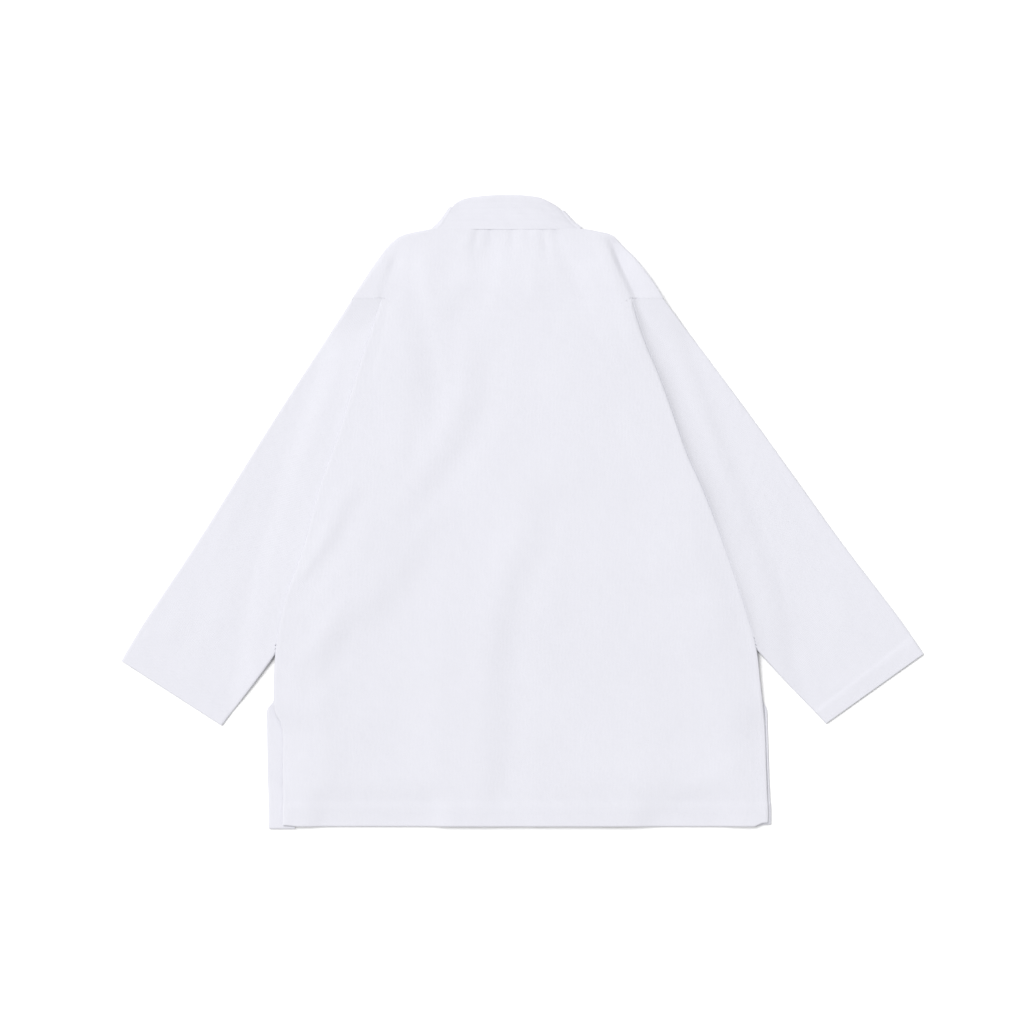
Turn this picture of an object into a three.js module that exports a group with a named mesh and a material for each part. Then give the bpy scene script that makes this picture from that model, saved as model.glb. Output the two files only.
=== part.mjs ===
// A white jiu-jitsu jacket lying flat on its front, back side up, sleeves swung down beside it.
//
// Millimetres. +Y runs from hem to collar, +Z away from the surface the jacket lies on, and the
// wearer's left sleeve is on the -X side. Every piece of cloth is a wall of its own thickness.
// The pieces are laid one on another in sewing order: a height field keeps the top of the pile,
// and each new piece is draped over it.
//
// The body is folded along a slanted line at each side, with the sleeve lying between the folds:
// the tuck is the cloth from that fold back to the armhole seam and the side seam. Below the
// side seam the same strip is the hem of the vent, and at the shoulder it is the seam allowance.
import * as THREE from "three";

// ---- Cloth and bands -------------------------------------------------------------------------
const CLOTH = 1.6;            // pearl-weave cloth
const HEM_EXTRA = 1.2;        // more wall where a hem or cuff is turned in
const SEAM_GAP = 0.3;         // between neighbouring pieces
const CURVED_SEAM_GAP = 0.8;  // beside the curved seam edge of a lapel
const BAND_THICKNESS = 6;     // folded and quilted collar band
const BAND_EDGE_THICKNESS = 3;
const BAND_EDGE_ROUNDING = 2.4;
const SLEEVE_HEIGHT = 4.2;    // two walls and the air between them
const SLEEVE_EDGE = 2.6;      // how far the pressed edge of a sleeve takes to close
const CUFF_HEM = 26;
const FOLD_REACH = 3;         // widest overhang of a pressed fold
const LOFT = 1.1;             // air the top layer keeps under it between its creases

// ---- Lower body, side by side with the neck seam at the top ------------------------------------
// Each section of the body, from the neck seam down: the height of its middle, the two ends of
// the back, how far the tuck goes in behind each end, and how far the front stands out beyond
// the back at each end (x and y).
const BODY_COLUMNS = ["level", "leftX", "leftY", "leftTuck", "rightX", "rightY", "rightTuck",
  "frontLeftX", "frontLeftY", "frontRightX", "frontRightY"];
const BODY_SECTIONS = table(BODY_COLUMNS, [
  [366.4, -116, 366.4, 8, 76, 366.8, 8, 0, 0, 0, 0],
  [356, -153, 361, 8, 113, 361.6, 8, 0, 0, 0, 0],
  [348, -167, 353, 8, 124, 353, 8, 0, 0, 0, 0],
  [339, -177, 343, 8, 133.5, 343, 8, 0, 0, 0, 0],
  [328, -186, 331, 8, 146, 331, 8, 0, 0, 0, 0],
  [315, -196, 317, 8, 157.5, 317, 8, 0, 0, 0, 0],
  [303, -207, 300, 8, 170, 300, 8, 0, 0, 0, 0],
  [294, -221.5, 276.4, 8, 183, 277.2, 8, 0, 0, 0, 0],
  [284, -202, 277, 7, 162.5, 277.2, 7, 0, 0, 0, 0],
  [270, -183, 277.7, 8, 142.5, 277.2, 8, 0, 0, 0, 0],
  [248, -192.5, 248, 36, 150.5, 248, 34, 0, 0, 0, 0],
  [214, -204.5, 214, 62, 162.5, 214, 58, 0, 0, 0, 0],
  [180, -215.5, 180, 80, 177, 180, 80, 0, 0, 0, 0],
  [144, -226, 144, 97, 190.5, 144, 100, 0, 0, 0, 0],
  [108, -237, 108, 110, 203, 108, 117, 0, 0, 0, 0],
  [72, -249.5, 72, 118, 216, 72, 130, 0, 0, 0, 0],
  [36, -262.5, 36, 106, 232.5, 36, 128, 0, 0, 0, 0],
  [0, -273, 0, 90, 247, 0, 109, 0, 0, 0, 0],
  [-36, -282, -36, 73, 260, -36, 88, 0, 0, 0, 0],
  [-72, -294, -72, 58, 272.5, -72, 67, 0, 0, 0, 0],
  [-108, -307.5, -108, 44, 284.5, -108, 45, 0, 0, 0, 0],
  [-144, -316, -144, 25, 295.5, -144, 24, 0, 0, 0, 0],
  [-180, -321, -180, 13, 304.5, -180, 13, 0, 0, 0, 0],
  [-215, -323, -215, 13, 308.5, -215, 13, 0, 0, 0, 0],
  [-244, -323.5, -244, 13, 312, -244, 13, 0, 0, 0.5, 0],
  [-262, -321.5, -262, 14, 314, -262, 14, -11, 4, 4, 4],
  [-284, -312.5, -284, 15, 315.5, -284, 15, -20, 0, 3.5, 0],
  [-345, -312, -345, 15, 317.5, -345, 15, -19.5, 0, 3.5, 0],
  [-386, -311.5, -386, 15, 319, -384, 15, -18.5, 0, 3.5, 0],
  [-390, -311.5, -389, 15, 319, -387, 15, -18.5, 0, 3.5, 0],
  [-409, -311.5, -407.5, 15, 319, -404, 15, -18.5, -4.5, 3.5, -2.5],
]);
const HEM_LEVEL = -388;
const ROW_END_BEND = 32;      // the ends of a section bend to their own height over this width

// ---- Collar band -------------------------------------------------------------------------------
// Sections across the band: its seam edge and its free edge. The neck length runs over the back
// of the neck from one side fold to the other, and a lapel runs from each side fold to the hem.
const BAND_COLUMNS = ["seamX", "seamY", "freeX", "freeY"];
const NECK_SECTIONS = table([...BAND_COLUMNS, "drop"], [
  [-98, 367.4, -63, 409, 0],
  [-76, 367.3, -46, 410.8, 0],
  [-48, 367.2, -34, 411.8, 1.4],
  [-20, 367.1, -20, 412.2, 2.2],
  [8, 367.2, 0, 411.4, 1.6],
  [34, 367.4, 19, 408.6, 0],
  [55, 368, 35, 403, 0],
]);
const NECK_LEFT_FOLD = { seam: [-109.6, 368.6], free: [-81, 404.5], out: [-0.8, 0.6] };
const NECK_RIGHT_FOLD = { seam: [69, 369.6], free: [45.5, 396], out: [0.76, 0.65] };
const NECK_FOLD_RADIUS = 3.4;
const NECK_UNDERLAP = 10;      // length of the neck band behind each fold, as far as its join
const LAPEL_LEFT_SECTIONS = table(BAND_COLUMNS, [
  [-104, 358, -72, 389],
  [-100, 340, -60, 362],
  [-88, 302, -46, 318],
  [-63, 241, -21.5, 258.5],
  [-39, 186, 2.2, 203],
  [-15.5, 131, 26.2, 147.6],
  [5, 80, 47.5, 95],
  [22, 28, 65.5, 39],
  [34, -25, 78.5, -17],
  [43, -80, 87.6, -75],
  [49, -140, 94, -137],
  [53, -210, 98, -209],
  [55, -310, 100, -310],
  [56, -407, 101, -407],
]);
const LAPEL_RIGHT_SECTIONS = table(BAND_COLUMNS, [
  [64, 360, 35, 386],
  [60, 340, 20, 358],
  [52, 296, 8.6, 308],
  [40, 240, -4, 249],
  [30, 185, -14.3, 193],
  [22, 130, -22.6, 136],
  [15, 75, -29.6, 80],
  [8, 20, -36.6, 25],
  [0, -35, -44.5, -29],
  [-10, -90, -54.2, -81.5],
  [-20, -145, -64.6, -139],
  [-27, -205, -71.9, -202],
  [-33, -300, -78, -299],
  [-36, -405, -81, -405],
]);

// ---- Sleeves -----------------------------------------------------------------------------------
// Each sleeve is a flat tube from its armhole seam to its cuff. Its sections join the outer edge
// to the underarm edge, and the crown lifts a section towards the shoulder.
const SLEEVE_LEFT = {
  name: "sleeve_left",
  outer: { shoulder: [-222, 276], cuff: [-522, -193.5] },
  under: { shoulder: [-125, 78], cuff: [-391, -278] },
  crown: 66,
};
const SLEEVE_RIGHT = {
  name: "sleeve_right",
  outer: { shoulder: [184, 276.8], cuff: [522, -184.5] },
  under: { shoulder: [84, 58], cuff: [394.5, -275.5] },
  crown: 73.5,
};
const SLEEVE_SECTIONS = table(["along", "crown", "outerSwell", "underSwell"], [
  [0, 1, 0, 0],
  [0.05, 0.68, 0, 0],
  [0.11, 0.37, 0.4, 0],
  [0.19, 0.14, 0.8, 0],
  [0.28, 0, 1.2, 0],
  [0.37, 0, 1.2, 0],
  [0.46, 0, 0.6, 0],
  [0.55, 0, 0, 0],
  [0.64, 0, -0.6, 0],
  [0.73, 0, -0.4, 0.6],
  [0.82, 0, 0.8, 1],
  [0.9, 0, 1.6, 0.6],
  [0.95, 0, 0.8, 0],
  [0.955, 0, 0.8, 0],
  [1, 0, 0, 0],
]);
const CROWN_AT = 0.27;         // where across a section the crown is highest
const SLEEVE_POINTS_ACROSS = 10;
const CUFF_HEM_FROM = 0.953;

// ---- Soft folds ----------------------------------------------------------------------------------
// A fold runs from one point to another, with its half width and its height: above zero is a
// ridge, below zero a trough.
const FOLD_COLUMNS = ["fromX", "fromY", "toX", "toY", "width", "height"];
const BACK_FOLDS = table(FOLD_COLUMNS, [
  [-36, 358, -50, 300, 13, -1.5],
  [30, 352, 68, 295, 14, -1.5],
  [-84, 340, -106, 290, 16, 1.5],
  [2, 356, 4, 300, 12, 1],
  [-150, 342, -172, 276, 16, -2.2],
  [-146, 270, -138, 236, 14, -1],
  [-126, 185, -132, 112, 18, -1],
  [-55, 170, -62, 106, 22, -1.6],
  [-62, 106, -134, 40, 22, -1.8],
  [-134, 40, -162, -40, 20, -1.4],
  [-88, 184, -102, 118, 20, 1.6],
  [-102, 118, -146, 72, 20, 1.4],
  [-172, 146, -168, 42, 18, 1.2],
  [-212, 16, -284, -102, 20, -1.4],
  [-244, -102, -296, -168, 20, 1.4],
  [-198, -128, -258, -200, 17, -2],
  [-258, -200, -296, -246, 17, -1.4],
  [29, 2, 18, -58, 18, -1.4],
  [-23, -88, -32, -240, 20, -1.4],
  [-32, -240, -42, -400, 20, -1.2],
  [-52, 16, -54, -166, 20, 1.2],
  [68, -114, 74, -172, 22, -1],
  [95, 14, 215, -60, 44, -1],
  [220, -90, 280, -230, 40, 1.2],
  [282, -316, 186, -374, 20, 0.8],
  [-312, -306, -306, -342, 10, 1.2],
]);
const SLEEVE_FOLDS = table(FOLD_COLUMNS, [
  [-236, 196, -290, 60, 16, 1.4],
  [-330, -20, -420, -190, 26, 1.2],
  [-290, -60, -350, -170, 18, 0.8],
  [-470, -150, -440, -215, 16, -0.8],
  [200, 210, 262, 60, 14, 1.2],
  [330, 0, 420, -160, 26, 1],
  [300, -60, 372, -190, 18, 1],
  [452, -120, 430, -200, 16, -0.8],
]);

// ---- Small helpers -------------------------------------------------------------------------------
function table(columns, rows) {
  return rows.map((row) => Object.fromEntries(columns.map((column, i) => [column, row[i]])));
}

function mix(a, b, t) {
  return a + (b - a) * t;
}

function mixPoint(a, b, t) {
  return [mix(a[0], b[0], t), mix(a[1], b[1], t)];
}

function ease(t) {
  const clamped = Math.min(Math.max(t, 0), 1);
  return clamped * clamped * (3 - 2 * clamped);
}

function unit([x, y]) {
  const length = Math.hypot(x, y);
  return [x / length, y / length];
}

// Height the folds of a table give to a point.
function foldHeight(folds, x, y) {
  let height = 0;
  for (const fold of folds) {
    const alongX = fold.toX - fold.fromX;
    const alongY = fold.toY - fold.fromY;
    const length = Math.hypot(alongX, alongY);
    const along = ((x - fold.fromX) * alongX + (y - fold.fromY) * alongY) / length;
    const beyond = Math.max(-along, along - length, 0);
    const across = ((x - fold.fromX) * alongY - (y - fold.fromY) * alongX) / length;
    const distance = Math.hypot(across, beyond) / fold.width;
    height += fold.height * Math.exp(-distance * distance);
  }
  return height;
}

// ---- The pile the pieces are laid on -----------------------------------------------------------
const CELL = 6;
const FIELD_HALF_X = 546;
const FIELD_HALF_Y = 432;
const FIELD_COLUMNS = 2 * FIELD_HALF_X / CELL + 1;
const FIELD_ROWS = 2 * FIELD_HALF_Y / CELL + 1;
const pile = new Float64Array(FIELD_COLUMNS * FIELD_ROWS);

function largest(values) {
  return Math.max(...values);
}

function average(values) {
  return values.reduce((sum, value) => sum + value, 0) / values.length;
}

// Replaces each height by one picked from its neighbours within the reach, first along the
// columns and then along the rows.
function spread(field, reach, pick) {
  const cells = Math.round(reach / CELL);
  let result = field;
  for (const step of [1, FIELD_COLUMNS]) {
    const source = result;
    const count = step === 1 ? FIELD_COLUMNS : FIELD_ROWS;
    result = source.map((height, index) => {
      const place = step === 1 ? index % FIELD_COLUMNS : Math.floor(index / FIELD_COLUMNS);
      const first = Math.max(place - cells, 0);
      const last = Math.min(place + cells, count - 1);
      const values = [];
      for (let near = first; near <= last; near += 1) {
        values.push(source[index + (near - place) * step]);
      }
      return pick(values);
    });
  }
  return result;
}

// The surface a piece takes when it is laid on the pile: it clears everything within its reach
// and comes down softly beside it.
function drape(reach, softness) {
  const field = spread(spread(pile, reach + softness, largest), softness, average);
  return (x, y) => {
    const column = Math.min(Math.max((x + FIELD_HALF_X) / CELL, 0), FIELD_COLUMNS - 1.001);
    const row = Math.min(Math.max((y + FIELD_HALF_Y) / CELL, 0), FIELD_ROWS - 1.001);
    const left = Math.floor(column);
    const below = Math.floor(row);
    const at = (i, j) => field[(below + j) * FIELD_COLUMNS + left + i];
    const low = mix(at(0, 0), at(1, 0), column - left);
    const high = mix(at(0, 1), at(1, 1), column - left);
    const height = mix(low, high, row - below);
    return height + SEAM_GAP * ease(height / CLOTH);
  };
}

function isInside(outline, x, y) {
  let inside = false;
  for (let i = 0, j = outline.length - 1; i < outline.length; j = i, i += 1) {
    const [ax, ay] = outline[i];
    const [bx, by] = outline[j];
    if ((ay > y) !== (by > y) && x < (bx - ax) * (y - ay) / (by - ay) + ax) {
      inside = !inside;
    }
  }
  return inside;
}

// Raises the pile inside an outline to the top of the piece just laid there.
function cover(outline, top) {
  for (let row = 0; row < FIELD_ROWS; row += 1) {
    for (let column = 0; column < FIELD_COLUMNS; column += 1) {
      const x = column * CELL - FIELD_HALF_X;
      const y = row * CELL - FIELD_HALF_Y;
      if (isInside(outline, x, y)) {
        const index = row * FIELD_COLUMNS + column;
        pile[index] = Math.max(pile[index], top(x, y));
      }
    }
  }
}

// ---- Walls ---------------------------------------------------------------------------------------
// A closed mesh from sections of point pairs: the face and the reverse of the wall. A tube's
// sections close on themselves.
function wall(name, sections, isTube) {
  const across = sections[0].length;
  const positions = [];
  for (const side of ["face", "reverse"]) {
    for (const section of sections) {
      section.forEach((pair) => positions.push(...pair[side]));
    }
  }
  const face = (s, j) => s * across + (j % across);
  const reverse = (s, j) => (sections.length + s) * across + (j % across);
  const indices = [];
  // Layers that lie above one another split their quads along the same line of the plan.
  const slant = (a, b) => {
    const alongX = positions[3 * b] - positions[3 * a];
    const alongY = positions[3 * b + 1] - positions[3 * a + 1];
    return alongX * alongY / (alongX * alongX + alongY * alongY + 1e-9);
  };
  const quad = (a, b, c, d) => {
    if (slant(a, c) > slant(b, d)) {
      indices.push(a, b, c, a, c, d);
    } else {
      indices.push(a, b, d, b, c, d);
    }
  };
  const spans = isTube ? across : across - 1;
  for (let s = 0; s < sections.length - 1; s += 1) {
    for (let j = 0; j < spans; j += 1) {
      quad(face(s, j), face(s + 1, j), face(s + 1, j + 1), face(s, j + 1));
      quad(reverse(s, j), reverse(s, j + 1), reverse(s + 1, j + 1), reverse(s + 1, j));
    }
    if (!isTube) {
      quad(face(s, 0), reverse(s, 0), reverse(s + 1, 0), face(s + 1, 0));
      quad(face(s, spans), face(s + 1, spans), reverse(s + 1, spans), reverse(s, spans));
    }
  }
  const end = sections.length - 1;
  for (let j = 0; j < spans; j += 1) {
    quad(face(0, j), face(0, j + 1), reverse(0, j + 1), reverse(0, j));
    quad(face(end, j), reverse(end, j), reverse(end, j + 1), face(end, j + 1));
  }
  if (signedVolume(positions, indices) < 0) {
    for (let i = 0; i < indices.length; i += 3) {
      [indices[i], indices[i + 1]] = [indices[i + 1], indices[i]];
    }
  }
  const geometry = new THREE.BufferGeometry();
  geometry.setAttribute("position", new THREE.Float32BufferAttribute(positions, 3));
  geometry.setIndex(indices);
  geometry.computeVertexNormals();
  const material = new THREE.MeshStandardMaterial({ color: 0xececf2, roughness: 0.92, metalness: 0 });
  const mesh = new THREE.Mesh(geometry, material);
  mesh.name = name;
  return mesh;
}

function signedVolume(positions, indices) {
  const corner = (k) => new THREE.Vector3().fromArray(positions, 3 * indices[k]);
  let volume = 0;
  for (let i = 0; i < indices.length; i += 3) {
    volume += corner(i).dot(corner(i + 1).cross(corner(i + 2)));
  }
  return volume;
}

// Turns the middle line of a wall into point pairs. Each point of the line has the direction
// its face looks in.
function thicken(line, thickness) {
  const half = thickness / 2;
  return line.map(({ x, y, z, outward }) => ({
    face: [x + outward[0] * half, y + outward[1] * half, z + outward[2] * half],
    reverse: [x - outward[0] * half, y - outward[1] * half, z - outward[2] * half],
  }));
}

// ---- Body panels -----------------------------------------------------------------------------
const FOLD_ROOM = FOLD_REACH + CLOTH;
const MOSTLY_SIDEWAYS = 0.9;
const LAYER_POINTS_BACK = 18;
const LAYER_POINTS_FRONT = 9;
const TUCK_POINTS = 4;
const FOLD_ANGLES = [-45, 0, 45].map((degrees) => degrees * Math.PI / 180);

// The sections of the body's back or front, with the way out of the cloth at each end. Where
// the edge runs mostly up and down the body, that way is straight out along the section.
function bodySections(rows, ends) {
  const placed = rows.map((row) => ({ level: row.level, ...ends(row) }));
  return placed.map((section, i) => {
    const before = placed[Math.max(i - 1, 0)];
    const after = placed[Math.min(i + 1, placed.length - 1)];
    const squareTo = (from, to, side) => (
      from === to ? [0, 0] : unit([side * (from[1] - to[1]), side * (to[0] - from[0])]));
    const wayOut = (end, side) => {
      const above = squareTo(before[end], section[end], side);
      const below = squareTo(section[end], after[end], side);
      const [outX, outY] = unit([above[0] + below[0], above[1] + below[1]]);
      return Math.abs(outX) > MOSTLY_SIDEWAYS ? [side, 0] : [outX, outY];
    };
    const leftOut = wayOut("left", -1);
    const rightOut = wayOut("right", 1);
    return {
      ...section,
      leftOut,
      rightOut,
      layerLeft: section.left.map((value, k) => value - leftOut[k] * FOLD_ROOM),
      layerRight: section.right.map((value, k) => value - rightOut[k] * FOLD_ROOM),
    };
  });
}

// Height in the plan of a point of a layer: the ends of a section bend to their own heights.
function planY(section, x) {
  const atLeft = 1 - ease((x - section.layerLeft[0]) / ROW_END_BEND);
  const atRight = 1 - ease((section.layerRight[0] - x) / ROW_END_BEND);
  return section.level + (section.layerLeft[1] - section.level) * atLeft
    + (section.layerRight[1] - section.level) * atRight;
}

// Middle line of one tuck and of the pressed fold beside it, from its inner end to the layer it
// belongs to. The side is -1 for the left fold and +1 for the right one, and a layer faces up
// (+1) or down (-1), with its tuck facing the other way.
function tuckLine(section, side, facing, tuckMiddle, layerMiddle) {
  const [edge, out, depth] = side < 0
    ? [section.left, section.leftOut, section.leftTuck]
    : [section.right, section.rightOut, section.rightTuck];
  const tuckZ = tuckMiddle(...edge);
  const layerZ = layerMiddle(...edge);
  const radius = Math.abs(layerZ - tuckZ) / 2;
  const overhang = Math.min(radius, FOLD_REACH);
  const base = overhang + CLOTH / 2;
  const inFrom = (distance) => [edge[0] - out[0] * distance, edge[1] - out[1] * distance];
  const line = [];
  for (let k = 0; k < TUCK_POINTS; k += 1) {
    const [x, y] = inFrom(mix(depth, base, k / (TUCK_POINTS - 1)));
    line.push({ x, y, z: tuckMiddle(x, y), outward: [0, 0, -facing] });
  }
  for (const angle of FOLD_ANGLES) {
    const [x, y] = inFrom(base - overhang * Math.cos(angle));
    const z = (tuckZ + layerZ) / 2 + facing * radius * Math.sin(angle);
    const [along, up] = unit([Math.cos(angle) / overhang, facing * Math.sin(angle) / radius]);
    line.push({ x, y, z, outward: [out[0] * along, out[1] * along, up] });
  }
  return line;
}

function layerLine(section, facing, fromX, toX, points, layerMiddle) {
  const line = [];
  for (let k = 0; k < points; k += 1) {
    const x = mix(fromX, toX, k / (points - 1));
    const y = planY(section, x);
    line.push({ x, y, z: layerMiddle(x, y), outward: [0, 0, facing] });
  }
  return line;
}

function clothAt(level) {
  return level < HEM_LEVEL ? CLOTH + HEM_EXTRA : CLOTH;
}

// How much higher the back lies where its hem makes it thicker.
function hemLift(y) {
  return HEM_EXTRA * ease((HEM_LEVEL + 14 - y) / 12);
}

function backEnds(row) {
  return {
    left: [row.leftX, row.leftY],
    right: [row.rightX, row.rightY],
    leftTuck: row.leftTuck,
    rightTuck: row.rightTuck,
  };
}

function frontEnds(row) {
  return {
    left: [row.leftX + row.frontLeftX, row.leftY + row.frontLeftY],
    right: [row.rightX + row.frontRightX, row.rightY + row.frontRightY],
    leftTuck: row.leftTuck,
    rightTuck: row.rightTuck,
  };
}

// Outline of the tuck at one side of the body.
function tuckOutline(sections, side) {
  const [end, out, tuck] = side < 0
    ? ["left", "leftOut", "leftTuck"]
    : ["right", "rightOut", "rightTuck"];
  const edge = sections.map((section) => section[end]);
  const inner = sections.map((section) => (
    section[end].map((value, k) => value - section[out][k] * section[tuck])));
  return [...edge, ...inner.reverse()];
}

// ---- Collar band pieces ------------------------------------------------------------------------
const BAND_PROFILE = [
  { inset: 0, thickness: BAND_EDGE_THICKNESS },
  { inset: BAND_EDGE_ROUNDING, thickness: BAND_THICKNESS },
];

// One section across the band: from its seam edge to its free edge, with the direction the face
// of the band looks in.
function bandSection(seam, free, middle, up) {
  const [acrossX, acrossY] = unit([free[0] - seam[0], free[1] - seam[1]]);
  const width = Math.hypot(free[0] - seam[0], free[1] - seam[1]);
  const stations = [
    ...BAND_PROFILE.map((row) => ({ at: row.inset, thickness: row.thickness })),
    ...BAND_PROFILE.map((row) => ({ at: width - row.inset, thickness: row.thickness })).reverse(),
  ];
  return stations.map(({ at, thickness }) => {
    const centre = [seam[0] + acrossX * at, seam[1] + acrossY * at, middle];
    const half = thickness / 2;
    return {
      face: centre.map((value, i) => value + up[i] * half),
      reverse: centre.map((value, i) => value - up[i] * half),
    };
  });
}

function lapelSections(rows, rest) {
  return rows.map((row) => {
    const seam = [row.seamX, row.seamY];
    const free = [row.freeX, row.freeY];
    const under = [0, 0.5, 1].map((t) => rest(...mixPoint(seam, free, t)));
    return bandSection(seam, free, Math.max(...under) + BAND_THICKNESS / 2, [0, 0, 1]);
  });
}

function bandOutline(rows) {
  const seam = rows.map((row) => [row.seamX, row.seamY]);
  const free = rows.map((row) => [row.freeX, row.freeY]);
  return [...seam, ...free.reverse()];
}

// Where the seam edge of a lapel is at a height of the body.
function seamEdgeX(rows, y) {
  const below = rows.findIndex((row) => row.seamY <= y);
  const lower = below < 0 ? rows.length - 1 : Math.max(below, 1);
  const a = rows[lower - 1];
  const b = rows[lower];
  return mix(a.seamX, b.seamX, (y - a.seamY) / (b.seamY - a.seamY));
}

// The band turns over at a side fold: from the lapel that lies below to the neck length above.
function neckFoldSections(fold) {
  const [outX, outY] = fold.out;
  const centreZ = BAND_THICKNESS / 2 + NECK_FOLD_RADIUS;
  const lower = (distance) => {
    const shift = ([x, y]) => [x - outX * distance, y - outY * distance];
    return bandSection(shift(fold.seam), shift(fold.free), BAND_THICKNESS / 2, [0, 0, -1]);
  };
  const turn = [-90, -45, 0, 45, 90].map((degrees) => {
    const angle = degrees * Math.PI / 180;
    const reach = NECK_FOLD_RADIUS * Math.cos(angle);
    const shift = ([x, y]) => [x + outX * reach, y + outY * reach];
    const up = [outX * Math.cos(angle), outY * Math.cos(angle), Math.sin(angle)];
    return bandSection(shift(fold.seam), shift(fold.free), centreZ + NECK_FOLD_RADIUS * Math.sin(angle), up);
  });
  return [lower(NECK_UNDERLAP), ...turn];
}

function neckBand() {
  const upperZ = BAND_THICKNESS / 2 + 2 * NECK_FOLD_RADIUS;
  const over = NECK_SECTIONS.map((row) => (
    bandSection([row.seamX, row.seamY], [row.freeX, row.freeY], upperZ - row.drop, [0, 0, 1])));
  const leftFold = neckFoldSections(NECK_LEFT_FOLD);
  const rightFold = neckFoldSections(NECK_RIGHT_FOLD);
  return wall("neck_band", [...leftFold, ...over, ...rightFold.reverse()], false);
}

// ---- Sleeves -----------------------------------------------------------------------------------
function sleeveSection(sleeve, row) {
  const axis = unit([
    sleeve.outer.shoulder[0] - sleeve.outer.cuff[0],
    sleeve.outer.shoulder[1] - sleeve.outer.cuff[1],
  ]);
  const outward = unit([
    sleeve.outer.cuff[0] - sleeve.under.cuff[0],
    sleeve.outer.cuff[1] - sleeve.under.cuff[1],
  ]);
  const outer = mixPoint(sleeve.outer.shoulder, sleeve.outer.cuff, row.along)
    .map((value, i) => value + outward[i] * row.outerSwell);
  const under = mixPoint(sleeve.under.shoulder, sleeve.under.cuff, row.along)
    .map((value, i) => value - outward[i] * row.underSwell);
  const crown = mixPoint(outer, under, CROWN_AT).map((value, i) => value + axis[i] * row.crown * sleeve.crown);
  const outerLength = Math.hypot(crown[0] - outer[0], crown[1] - outer[1]);
  const underLength = Math.hypot(under[0] - crown[0], under[1] - crown[1]);
  const length = outerLength + underLength;
  return {
    isHem: row.along > CUFF_HEM_FROM,
    length,
    at: (distance) => (distance < outerLength
      ? mixPoint(outer, crown, distance / outerLength)
      : mixPoint(crown, under, (distance - outerLength) / underLength)),
    outline: [outer, crown, under],
  };
}

// The tube's wall in one section: across the top, round the underarm edge, back across the
// bottom and round the outer edge.
function sleeveWall(section, rest) {
  const clothHere = section.isHem ? CLOTH + HEM_EXTRA / 2 : CLOTH;
  const innerEdge = SLEEVE_EDGE + clothHere;
  const pair = (distance, innerDistance, share, innerShare) => {
    const level = (d, t) => {
      const [x, y] = section.at(d);
      const fold = Math.max(foldHeight(SLEEVE_FOLDS, x, y), 0);
      const height = SLEEVE_HEIGHT + (section.isHem ? HEM_EXTRA : 0) + fold;
      return { x, y, base: rest(x, y), height, t };
    };
    const outside = level(distance);
    const inside = level(innerDistance);
    const insideHeight = inside.height - 2 * clothHere;
    return {
      face: [outside.x, outside.y, outside.base + outside.height * share],
      reverse: [inside.x, inside.y, inside.base + clothHere + insideHeight * innerShare],
    };
  };
  const stations = [];
  for (let k = 0; k < SLEEVE_POINTS_ACROSS; k += 1) {
    const t = k / (SLEEVE_POINTS_ACROSS - 1);
    stations.push([
      mix(SLEEVE_EDGE, section.length - SLEEVE_EDGE, t),
      mix(innerEdge, section.length - innerEdge, t),
    ]);
  }
  const top = stations.map(([outside, inside]) => pair(outside, inside, 1, 1));
  const bottom = stations.map(([outside, inside]) => pair(outside, inside, 0, 0)).reverse();
  const underEdge = pair(section.length, section.length - clothHere - 1, 0.5, 0.5);
  const outerEdge = pair(0, clothHere + 1, 0.5, 0.5);
  return [...top, underEdge, ...bottom, outerEdge];
}

function sleeveOutline(sections) {
  const outer = sections.map((section) => section.outline[0]);
  const under = sections.map((section) => section.outline[2]);
  return [...outer, ...under.reverse(), sections[0].outline[1]];
}

// ---- Laying the pieces down, lowest first --------------------------------------------------------
const jacket = new THREE.Group();
const floor = () => 0;

// Left front and its lapel: as worn the outermost layer, so here the lowest.
const lapelLeft = lapelSections(LAPEL_LEFT_SECTIONS, floor);
jacket.add(wall("lapel_left", lapelLeft, false));
cover(bandOutline(LAPEL_LEFT_SECTIONS), () => BAND_THICKNESS);

const fronts = bodySections(BODY_SECTIONS.slice(1), frontEnds);

function frontLayer(rest) {
  return (x, y) => rest(x, y) + CLOTH / 2;
}

function frontTuck(rest) {
  return (x, y) => rest(x, y) + CLOTH * 1.5 + SEAM_GAP;
}

const frontLeft = fronts.map((section) => {
  const inner = seamEdgeX(LAPEL_LEFT_SECTIONS, section.level) - CURVED_SEAM_GAP;
  const tuck = tuckLine(section, -1, -1, frontTuck(floor), frontLayer(floor));
  const layer = layerLine(section, -1, section.layerLeft[0], inner, LAYER_POINTS_FRONT,
    frontLayer(floor));
  return thicken([...tuck, ...layer], CLOTH);
});
jacket.add(wall("front_left", frontLeft, false));
const frontLeftOutline = [
  ...fronts.map((section) => section.left),
  ...fronts.map((section) => [seamEdgeX(LAPEL_LEFT_SECTIONS, section.level), section.level]).reverse(),
];
cover(frontLeftOutline, () => CLOTH);
cover(tuckOutline(fronts, -1), () => 2 * CLOTH + SEAM_GAP);

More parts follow.
